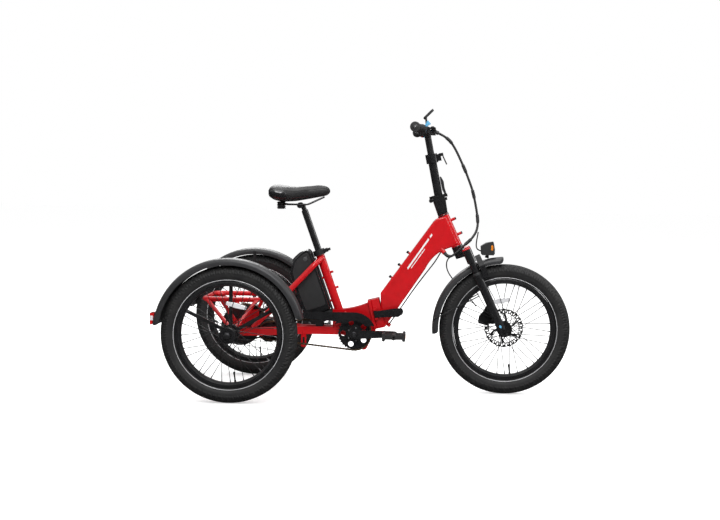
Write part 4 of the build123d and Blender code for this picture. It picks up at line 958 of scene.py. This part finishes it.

# %% Brake levers, their clamps, reservoir lids and buttons
def rounded_outline(half_x, half_y, corner, steps=8):
    """A rectangle with quarter circles at its corners."""
    quarter = np.linspace(0, np.pi / 2, steps)
    corners = []
    for n, (sx, sy) in enumerate(((1, 1), (-1, 1), (-1, -1), (1, -1))):
        turn_by = quarter + n * np.pi / 2
        corners.append(np.column_stack([sx * (half_x - corner) + corner * np.cos(turn_by),
                                        sy * (half_y - corner) + corner * np.sin(turn_by)]))
    return np.vstack(corners)


def blade_outline(centre_line, half_widths):
    """An outline that keeps a half width to both sides of a line."""
    line = np.array(centre_line, float)
    ahead = np.gradient(line, axis=0)
    ahead /= np.linalg.norm(ahead, axis=1)[:, None]
    beside = np.column_stack([-ahead[:, 1], ahead[:, 0]]) * np.array(half_widths)[:, None]
    return np.vstack([line + beside, (line - beside)[::-1]])


def eased(points, steps=40):
    """More points on a run of (distance, value) rows, joined by smooth cubic easing."""
    points = np.array(points, float)
    t = np.linspace(0, len(points) - 1, steps)
    i = np.minimum(t.astype(int), len(points) - 2)
    f = t - i
    before, after = points[np.maximum(i - 1, 0)], points[np.minimum(i + 2, len(points) - 1)]
    p, q = points[i], points[i + 1]
    f = f[:, None]
    return 0.5 * (2 * p + (q - before) * f + (2 * before - 5 * p + 4 * q - after) * f ** 2
                  + (3 * p - before - 3 * q + after) * f ** 3)


lever_line = eased([(60, 34), (74, 41), (92, 50), (112, 54), (140, 55), (168, 57), (180, 60)])
lever_half = np.interp(lever_line[:, 0], [60, 66, 80, 100, 150, 172, 180],
                       [6, 6.5, 4.5, 4.2, 4.4, 5.6, 3.0])
blade = slab_shape(blade_outline(lever_line, lever_half), -4.5, 4.5, 1.4)
pin = turned_shape([(0, -7.2), (3.3, -7.2), (3.6, -6.6), (3.6, 6.6), (3.3, 7.2), (0, 7.2)], 20)
for hand, way in SIDES:
    start, ahead, above, outward_way = bar_frame(way)
    matrix = np.eye(4)
    matrix[:3] = np.column_stack([outward_way, ahead, np.cross(outward_way, ahead), start])
    shapes = [placed(blade, matrix), stood(pin, on_bar(way, 35, 0, 60), above, outward_way)]
    piece(f"brake_blade_{hand}", shapes, anodised, f"brake_lever_{hand}", f"brake_lever_{hand}",
          bevel=0.0008)

small_bolt = turned_shape([(0, 3), (1.3, 3), (1.6, 4.2), (3.4, 4.2), (4, 3.4), (4, 0), (0, 0)], 20)
bolts = []
for way in (-1, 1):
    for d in (47, 55):
        bolts.append(placed(small_bolt, bar_matrix(way, 26.0, 0, d, "ahead", "outward")))
    bolts.append(placed(small_bolt, bar_matrix(way, 34, 0, 19.6, "outward")
                        @ np.diag([1.0, -1.0, -1.0, 1.0])))
piece("clamp_bolts", bolts, steel, "handlebar")
fluid = slab_shape(rounded_outline(15, 9.5, 4, 6), 0, 4, 1)
lids = [placed(fluid, bar_matrix(way, 34, 7.2, 41, "above", "outward")) for way in (-1, 1)]
piece("reservoir_lids", lids, satin_black, "handlebar", bevel=0.0006)
button = turned_shape([(0, 0), (3.6, 0), (3.6, 2.4), (2.6, 3.2), (0, 3.4)], 20)
_, ahead, above, outward_way = bar_frame(1)
buttons = [stood(button, on_bar(1, f, u, 76), above * math.cos(f / 18) + ahead * math.sin(f / 18),
                 outward_way) for f, u in ((-6, 17.0), (3, 17.7), (11, 14.2))]
piece("mode_buttons", buttons[1:], blue_plastic, "handlebar")
piece("power_button", buttons[0], red_lens, "handlebar")

# %% Display
DISPLAY_FACE = axes_at(at(752, 0, 1130), (-0.7071, 0, 0.7071), LEFT)


def on_display(x, y, z):
    """The placing matrix of a spot on the display's face."""
    matrix = DISPLAY_FACE.copy()
    matrix[:3, 3] = (DISPLAY_FACE @ [x / 1000, y / 1000, z / 1000, 1])[:3]
    return matrix


piece("display_glass", placed(slab_shape(rounded_outline(33, 22, 5), 0, 0.8, 0.4),
                              on_display(0, 0, 6.9)), screen, "handlebar")
bars = [placed(slab_shape(rounded_outline(1.6, 3.4, 0.5, 4), 0, 0.3, 0.1),
               on_display(-20 + 5 * n, 13, 7.7)) for n in range(5)]
bars.append(placed(slab_shape(rounded_outline(15, 0.5, 0.3, 4), 0, 0.3, 0.1), on_display(0, 7, 7.7)))
for n in range(3):
    for x, y, half_x, half_y in ((0, 4.6, 2.6, 0.6), (0, -4.6, 2.6, 0.6), (3.2, 0, 0.6, 3.8),
                                 (-3.2, 0, 0.6, 3.8)):
        bars.append(placed(slab_shape(rounded_outline(half_x, half_y, 0.3, 3), 0, 0.3, 0.1),
                           on_display(-12 + 12 * n + x, -7 + y, 7.7)))
piece("display_figures", bars, white_ink, "handlebar")

# %% [markdown]
# ## Chains
# Pins are laid along the pitch line of the two chain wheels: a straight run, an arc, a run and an
# arc.  Inner and outer plates then alternate between neighbouring pins, and the wheels get teeth
# that fall between them.

# %% Chains and teeth
PITCH = 12.7
LINE_OUT = 3.4


def wheel_radius(teeth):
    """The radius of a chain wheel's pitch circle."""
    return PITCH / 2 / math.sin(math.pi / teeth)


def chain_pins(centre_a, teeth_a, centre_b, teeth_b):
    """Pins at equal steps round wheel a (in front) and wheel b, moved out by LINE_OUT."""
    a, b = np.array(centre_a, float), np.array(centre_b, float)
    radius_a, radius_b = wheel_radius(teeth_a), wheel_radius(teeth_b)
    gap = np.linalg.norm(b - a)
    heading = math.atan2(*(a - b)[::-1])
    tilt = math.acos((radius_a - radius_b) / gap)
    run = math.sqrt(gap ** 2 - (radius_a - radius_b) ** 2)
    arc_a, arc_b = 2 * (math.pi - tilt) * radius_a, 2 * tilt * radius_b
    total = 2 * run + arc_a + arc_b
    count = 2 * round(total / PITCH / 2)
    places = np.arange(count) * total / count
    start_a = heading - (math.pi - tilt)
    pins = []
    for place in places:
        if place < arc_a:
            angle = start_a + place / radius_a
            pins.append(a + (radius_a + LINE_OUT) * np.array([math.cos(angle), math.sin(angle)]))
        elif place < arc_a + run:
            angle = start_a + arc_a / radius_a
            normal = np.array([math.cos(angle), math.sin(angle)])
            share = (place - arc_a) / run
            pins.append((a + normal * radius_a) * (1 - share) + (b + normal * radius_b) * share
                        + normal * LINE_OUT)
        elif place < arc_a + run + arc_b:
            angle = start_a + arc_a / radius_a + (place - arc_a - run) / radius_b
            pins.append(b + (radius_b + LINE_OUT) * np.array([math.cos(angle), math.sin(angle)]))
        else:
            normal = np.array([math.cos(start_a), math.sin(start_a)])
            share = (place - arc_a - run - arc_b) / run
            pins.append((b + normal * radius_b) * (1 - share) + (a + normal * radius_a) * share
                        + normal * LINE_OUT)
    return np.array(pins)


def link_outline(half=6.35, end=3.9, waist=2.7):
    """The figure-of-eight outline of a link plate."""
    arc = np.linspace(-2.1, 2.1, 7)
    right_end = np.column_stack([half + end * np.cos(arc), end * np.sin(arc)])
    left_end = -right_end
    return np.vstack([right_end, [[0, waist]], left_end, [[0, -waist]]])


plate_shape = slab_shape(link_outline(), -0.55, 0.55, 0.2)
roller = turned_shape([(0, -5.2), (1.8, -5.2), (1.8, -3), (3.7, -3), (3.7, 3), (1.8, 3), (1.8, 5.2),
                       (0, 5.2)], 8)


def chain_shape(pins, left):
    """Rollers at the pins, with inner and outer plates in turn between them."""
    shapes = []
    for n, pin_xz in enumerate(pins):
        after = pins[(n + 1) % len(pins)]
        here = at(pin_xz[0], left, pin_xz[1])
        shapes.append(stood(roller, here, LEFT, AHEAD))
        step = after - pin_xz
        middle = (pin_xz + after) / 2
        offset = 2.9 if n % 2 else 4.2
        stretch = np.diag([np.linalg.norm(step) / PITCH, 1, 1, 1])
        for way in (-1, 1):
            matrix = axes_at(at(middle[0], left + way * offset, middle[1]), LEFT, (step[0], 0, step[1]))
            shapes.append(placed(plate_shape, matrix @ stretch))
    return joined(shapes)


def tooth_ring(centre, teeth, left, pins, half=1.1):
    """A ring whose outer radius rises in a tooth half way between neighbouring pins."""
    away = pins - np.array(centre)
    nearest = away[np.argmin(np.abs(np.linalg.norm(away, axis=1) - wheel_radius(teeth) - LINE_OUT)
                             + 0.001 * np.abs(away[:, 1]))]
    phase = math.atan2(nearest[1], nearest[0])
    turn = np.linspace(0, 2 * np.pi, teeth * 8, endpoint=False)
    tooth = np.clip(-np.cos(teeth * (turn - phase)) * 1.5 - 0.1, 0, 1) ** 0.8
    inner, root = wheel_radius(teeth) - 8, wheel_radius(teeth) - 0.8
    outer = root + 5.0 * tooth
    rings = []
    for radius, height in ((inner, -half), (outer, -half), (outer - 1.0 * tooth, half), (inner, half)):
        radius = np.broadcast_to(radius, turn.shape)
        rings.append(np.column_stack([centre[0] + radius * np.cos(turn),
                                      np.full(len(turn), left + height),
                                      centre[1] + radius * np.sin(turn)]))
    grid = np.stack(rings) / 1000 + [rear_axle[0], 0, 0]
    return grid_shape(grid, wrap_rows=True, wrap_columns=True)


CRANK_AXLE, JACK_AXLE, REAR_AXLE = (464, 241), (112, 245), (0, axle_height)
PEDAL_LINE, DRIVE_LINE = -52, 60
pedal_pins = chain_pins(CRANK_AXLE, 32, JACK_AXLE, 16)
drive_pins = chain_pins(JACK_AXLE, 12, REAR_AXLE, 36)
linked = joined([chain_shape(pedal_pins, PEDAL_LINE), chain_shape(drive_pins, DRIVE_LINE)])
chain = piece("linked_chains", linked, bronze_chain, "rear_frame", "chains", smooth=30)
print("links", len(pedal_pins), "and", len(drive_pins), "faces", len(chain.data.polygons))
piece("chainring_teeth", tooth_ring(CRANK_AXLE, 32, PEDAL_LINE, pedal_pins), dark_steel, "crank",
      smooth=30)
jack_teeth = [tooth_ring(JACK_AXLE, 16, PEDAL_LINE, pedal_pins),
              tooth_ring(JACK_AXLE, 12, DRIVE_LINE, drive_pins)]
piece("jackshaft_teeth", jack_teeth, dark_steel, "jackshaft", smooth=30)
piece("axle_sprocket_teeth", tooth_ring(REAR_AXLE, 36, DRIVE_LINE, drive_pins), dark_steel,
      "differential", smooth=30)

# %% [markdown]
# ## Brake disc
# The disc is a polar grid with the faces in its windows left out and a wall added, so its slots are
# real holes.  The grid is skewed with the radius, which slants the slots and the six arms.

# %% Brake disc
def disc_shape(centre, left, rings=40, steps=432):
    """Polar grid with angle skewed by radius; faces in slots or between arms are dropped."""
    radius = np.linspace(15.3, 80, rings + 1)
    turn = np.linspace(0, 2 * np.pi, steps, endpoint=False)
    skew = np.clip(radius - 22, 0, 40) * 0.011
    angle = turn[None, :] + skew[:, None]
    wave = 1 + 0.014 * (np.sin(18 * turn)[None, :] * step_up(radius, 74, 80)[:, None]
                        - step_up(radius, 74, 80)[:, None])
    x = centre[0] + radius[:, None] * wave * np.cos(angle)
    z = centre[1] + radius[:, None] * wave * np.sin(angle)
    points = np.stack([rear_axle[0] + x / 1000, np.full_like(x, left / 1000), z / 1000], -1)
    faces = np.array(grid_faces(rings + 1, steps, wrap_columns=True))
    row = (faces[:, 0] // steps).astype(int)
    column = faces[:, 0] % steps
    middle = (radius[row] + radius[np.minimum(row + 1, rings)]) / 2
    arm = (column % 72) < 15
    slot = ((column + 3) % 18 < 5) & (middle > 65.5) & (middle < 75.5)
    slot |= ((column + 12) % 18 < 4) & (middle > 61.5) & (middle < 71)
    keep = (middle < 24) | ((middle > 24) & (middle < 60) & arm) | ((middle >= 60) & ~slot)
    return points.reshape(-1, 3), faces[keep].tolist()


slotted = piece("slotted_brake_disc", disc_shape((wheelbase, axle_height), 37.2), brake_steel,
                "front_wheel", "front_rotor", wall=0.0018)
print("brake disc faces", len(slotted.data.polygons))
rotor_bolts = [stood(small_bolt, wheel_point(front_axle, n * math.pi / 3, 19, 38.6), LEFT, AHEAD)
               for n in range(6)]
piece("brake_disc_bolts", rotor_bolts, steel, "front_wheel")

# %% [markdown]
# ## Frame, battery and cranks
# Black caps close the frame's threaded bosses, a lipped cup finishes each end of the head tube, and
# two plain white stripes run along the deep beam.  The battery is a smooth outline with rounded
# rims and a raised panel.

# %% Bosses, cups and stripes
cap = turned_shape([(0, 3.4), (1.6, 3.4), (2.2, 4.6), (4.6, 4.6), (5.6, 3.6), (5.6, -4), (0, -4)], 24)
boss_caps = [stood(cap, at(x - 9.1, 0, z + 6.2), (-9.1, 0, 6.2), LEFT)
             for x, z in ((683, 566), (648, 515), (613, 465))]
boss_caps += [stood(cap, in_frame(STEERING, 38, 0, t), STEERING[1], LEFT) for t in (38.3, -24.8)]
piece("boss_caps", boss_caps, gloss_black, "front_frame")
cup = ring_shape(bored_profile([(20.5, 0), (23.2, 0.6), (23.6, 3), (22.8, 5.2), (21.4, 6)], 18))
cups = [stood(cup, in_frame(STEERING, 0, 0, t), STEERING[2], LEFT) for t in (-72.5, 66.3)]
piece("headset_cups", cups, gloss_black, "front_frame")


def stripe(start, end, width, left, slant=0.6):
    """A slanted-ended stripe between two side-view points, just proud of the frame."""
    start, end = np.array(start, float), np.array(end, float)
    way_along = (end - start) / np.linalg.norm(end - start)
    beside = np.array([-way_along[1], way_along[0]]) * width / 2
    corners = [start - beside - way_along * width * slant, start + beside, end + beside,
               end - beside - way_along * width * slant]
    outline = np.vstack([np.linspace(corners[n], corners[(n + 1) % 4], 12, endpoint=False)
                         for n in range(4)])
    rings = [np.column_stack([rear_axle[0] + outline[:, 0] / 1000, np.full(len(outline), y / 1000),
                              outline[:, 1] / 1000]) for y in (left - 0.2, left + 0.2)]
    return grid_shape(np.stack(rings), wrap_columns=True, caps=True)


stripes = []
for way in (-1, 1):
    for start, end, width in (((676, 508), (760, 630), 7.0), ((690, 510), (744, 588), 3.2),
                              ((765, 637), (773, 649), 7.0)):
        stripes.append(stripe(start, end, width, way * 25.05))
piece("white_stripes", stripes, white_ink, "front_frame")


def weld_line(centre_line, size=0.0022, ripple=0.0005, pitch=0.0032):
    """A bead along a line: radius = size + ripple * |sin(pi * run / pitch)|."""
    line = evenly(np.array(centre_line), 0.0008)
    radius = size + ripple * np.abs(np.sin(np.pi * run_along(line) / pitch))
    return tube_shape(line, radius, 8)


welds = []
for way in (-1, 1):
    welds.append(weld_line([in_frame(STEERING, -9.5, way * 20.6, t) for t in (54, 20, -20, -58)]))
welds.append(weld_line([in_frame(STEERING, 22.3 * math.cos(a), 22.3 * math.sin(a), 60)
                        for a in np.linspace(2.0, 4.28, 24)]))
piece("head_welds", welds, red_paint, "front_frame")

# %% Battery
BATTERY_OUTLINE = [(-28.4, -238), (-28.4, -120), (-28.4, 2), (-31, 16), (-37, 24.5), (-47, 25),
                   (-58, 23.5), (-82, 13), (-106, 1), (-124, -20), (-139.5, -42), (-139.6, -140),
                   (-138, -238)]


def cut_corners(points, size=7.0, times=2):
    """Cuts each corner at a distance of size, then twice replaces corners by points a quarter along."""
    points = np.array(points, float)
    after = np.roll(points, -1, axis=0)
    side = after - points
    length = np.linalg.norm(side, axis=1)[:, None]
    share = np.minimum(size / length, 0.3)
    points = np.stack([points + side * share, after - side * share], 1).reshape(-1, 2)
    for _ in range(times):
        after = np.roll(points, -1, axis=0)
        quarters = [points * 0.75 + after * 0.25, points * 0.25 + after * 0.75]
        points = np.stack(quarters, 1).reshape(-1, 2)
    return points


def on_seat_side(outline, low, high, edge):
    """An outline (forward, up) in the seat tube's frame, raised across the tricycle."""
    matrix = np.eye(4)
    matrix[:3] = np.column_stack([SEAT[1], SEAT[2], np.cross(SEAT[1], SEAT[2]), SEAT[0]])
    return placed(slab_shape(outline, low, high, edge), matrix)


pack_outline = cut_corners(BATTERY_OUTLINE)
middle = pack_outline.mean(0)
piece("battery_shell", on_seat_side(pack_outline, -41.2, 41.2, 5), gloss_black, "battery", "battery",
      smooth=30, bevel=0.002)
panel = middle + (pack_outline - middle) * [0.8, 0.86]
panels = [on_seat_side(panel, *sorted((way * 40, way * 42.0)), 0.8) for way in (-1, 1)]
piece("battery_panels", panels, moulded_black, "battery", bevel=0.0005)
handle_line = evenly(np.array([in_frame(SEAT, f, 0, t) for f,
                               t in eased([(-112, -8), (-108, 3), (-92, 11.5), (-74, 18.5),
                                           (-62, 19.5)], 30)]), 0.002)
piece("battery_handle", tube_shape(handle_line, 0.0048, 16),
      moulded_black, "battery")
port = turned_shape([(0, 2.2), (4, 2.2), (4.5, 1.2), (8.5, 1.2), (9.5, 0), (0, 0)], 32)
piece("battery_lock", stood(port, in_frame(SEAT, -58, -41.0, -8), (0, -1, 0), UP), steel, "battery")

# %% Cranks and pedals
crank_cap = turned_shape([(0, 3), (2.2, 3), (3.4, 1.6), (8.5, 2.2), (10.5, 0.6), (10.5, -1), (0, -1)],
                         32)
piece("crank_caps", [stood(crank_cap, at(CRANK_AXLE[0], way * 98, CRANK_AXLE[1]), (0, way, 0))
                     for way in (-1, 1)], dark_steel, "crank")
ring_bolts = [stood(small_bolt, at(CRANK_AXLE[0] + 26 * math.cos(a), -86,
                                   CRANK_AXLE[1] + 26 * math.sin(a)), (0, -1, 0))
              for a in np.arange(5) * 2 * np.pi / 5]
piece("chainring_bolts", ring_bolts, steel, "crank")
for hand, way, x in (("right", -1, 627), ("left", 1, 301)):
    faces = []
    for across_x in (-1, 1):
        plate_matrix = axes_at(at(x + across_x * 45.6, way * 152, 245), (across_x, 0, 0), LEFT)
        faces.append(placed(slab_shape(rounded_outline(22, 6.5, 2), 0, 1.2, 0.5), plate_matrix))
    piece(f"pedal_reflectors_{hand}", faces, amber, f"pedal_{hand}")
    stud = turned_shape([(0, 2.6), (1.2, 2.6), (1.8, 1.4), (1.8, 0), (0, 0)], 10)
    studs = [stood(stud, at(x + across_x * 40, way * y, 245 + up * 15), (0, 0, up), AHEAD)
             for across_x in (-1, 1) for y in (112, 126, 140, 164, 178, 192) for up in (-1, 1)]
    piece(f"pedal_studs_{hand}", studs, dark_steel, f"pedal_{hand}")

# %% Hub caps
for hand, way in SIDES:
    centre = np.array([rear_axle[0], way * (half_track + 31) / 1000, rear_axle[2]])
    ring = ring_shape([(15.2, 4), (28.5, 3.6), (30.8, 1), (30.8, -3), (15.2, -3)], 64)
    piece(f"hub_cover_{hand}", stood(ring, centre, (0, way, 0), AHEAD), gloss_black,
          f"wheel_rear_{hand}")
    nut_end = np.array([rear_axle[0], way * (half_track + 47) / 1000, rear_axle[2]])
    nut = turned_shape([(0, 7.8), (8.5, 7.8), (10, 6.8), (13.5, 6.2), (14.2, 4), (14.2, 0), (0, 0)], 6)
    piece(f"axle_nut_{hand}", stood(nut, nut_end, (0, way, 0), AHEAD), dark_steel,
          f"wheel_rear_{hand}", bevel=0.0006)

# %% [markdown]
# ## Fork and lamps
# Rubber lips seal the sprung legs, and the headlamp and tail lamps get ribbed lenses: a lens is a
# shallow dome whose height also carries a fine ripple, which breaks up what it reflects.

# %% Fork seals and badge
seal = ring_shape(bored_profile([(17.2, 0), (18.7, 0.8), (18.7, 7), (17.6, 8.5), (16.2, 10.5),
                                 (15, 11.2)], 14.05), 64)
seals = [stood(seal, in_frame(STEERING, 29, way * 60, -206), STEERING[2], LEFT) for way in (-1, 1)]
piece("fork_seals", seals, grip_rubber, "fork_lowers")
top_cap = turned_shape([(0, 6), (7, 6), (7.8, 4.8), (15, 4.6), (17.6, 3), (18, 0), (18, -1), (0, -1)],
                       48)
tops = [stood(top_cap, in_frame(STEERING, 29, way * 60, -94), STEERING[2], LEFT) for way in (-1, 1)]
piece("leg_top_caps", tops, red_paint, "steerer")

diamond = slab_shape([(5.2, 0), (0, 7.5), (-5.2, 0), (0, -7.5)], 0, 0.5, 0.1)
badge_place = in_frame(STEERING, 29, -60 - 17.0, -431)
piece("leg_badge", stood(diamond, badge_place, (0, -1, 0), STEERING[1]), blue_plastic, "fork_lowers")

# %% Lenses
def lens_shape(half_x, half_y, corner, rise, ripples):
    """A dome over a rounded rectangle: z = rise * (1 - u^2) plus a ripple that fades at the rim."""
    outline = rounded_outline(half_x, half_y, corner, 10) / 1000
    u = np.linspace(1, 0.02, 26)
    rings = u[:, None, None] * outline[None]
    height = rise * (1 - u[:, None] ** 2) / 1000
    height = height + 0.0003 * np.sin(ripples * rings[..., 0] / half_x * 1000) * (1 - u[:, None] ** 6)
    points = np.concatenate([rings, height[..., None]], -1)
    back = np.concatenate([outline, np.full((len(outline), 1), -0.002)], -1)[None]
    return grid_shape(np.concatenate([back, points]), wrap_columns=True, caps=True)


piece("headlamp_lens", stood(lens_shape(19, 20, 7, 2.0, 26), at(1025.2, 0, 590), (1, 0, 0.12), LEFT),
      clear_lens, "fork_lowers")
side_lens = [stood(lens_shape(4, 10, 2, 1.0, 12), at(1015.5, way * 24, 596), (0, way, 0), AHEAD)
             for way in (-1, 1)]
piece("headlamp_side_reflectors", side_lens, amber, "fork_lowers")
tail = []
white_tail = []
for way in (-1, 1):
    tail.append(stood(lens_shape(20, 12, 3, 1.2, 30), at(-303.0, way * half_track, 329), (-1, 0, 0),
                      LEFT))
    side = [stood(lens_shape(5.5, 9, 2, 0.8, 8), at(-296, way * half_track + s * 23, 325), (0, s, 0),
                  AHEAD) for s in (-1, 1)]
    white_tail += side
    white_tail.append(stood(lens_shape(20, 5, 2, 0.8, 30), at(-303.0, way * half_track, 308),
                            (-1, 0, 0), LEFT))
piece("tail_lenses", tail, red_lens, "rear_frame")
piece("tail_reflectors", white_tail, reflector, "rear_frame")
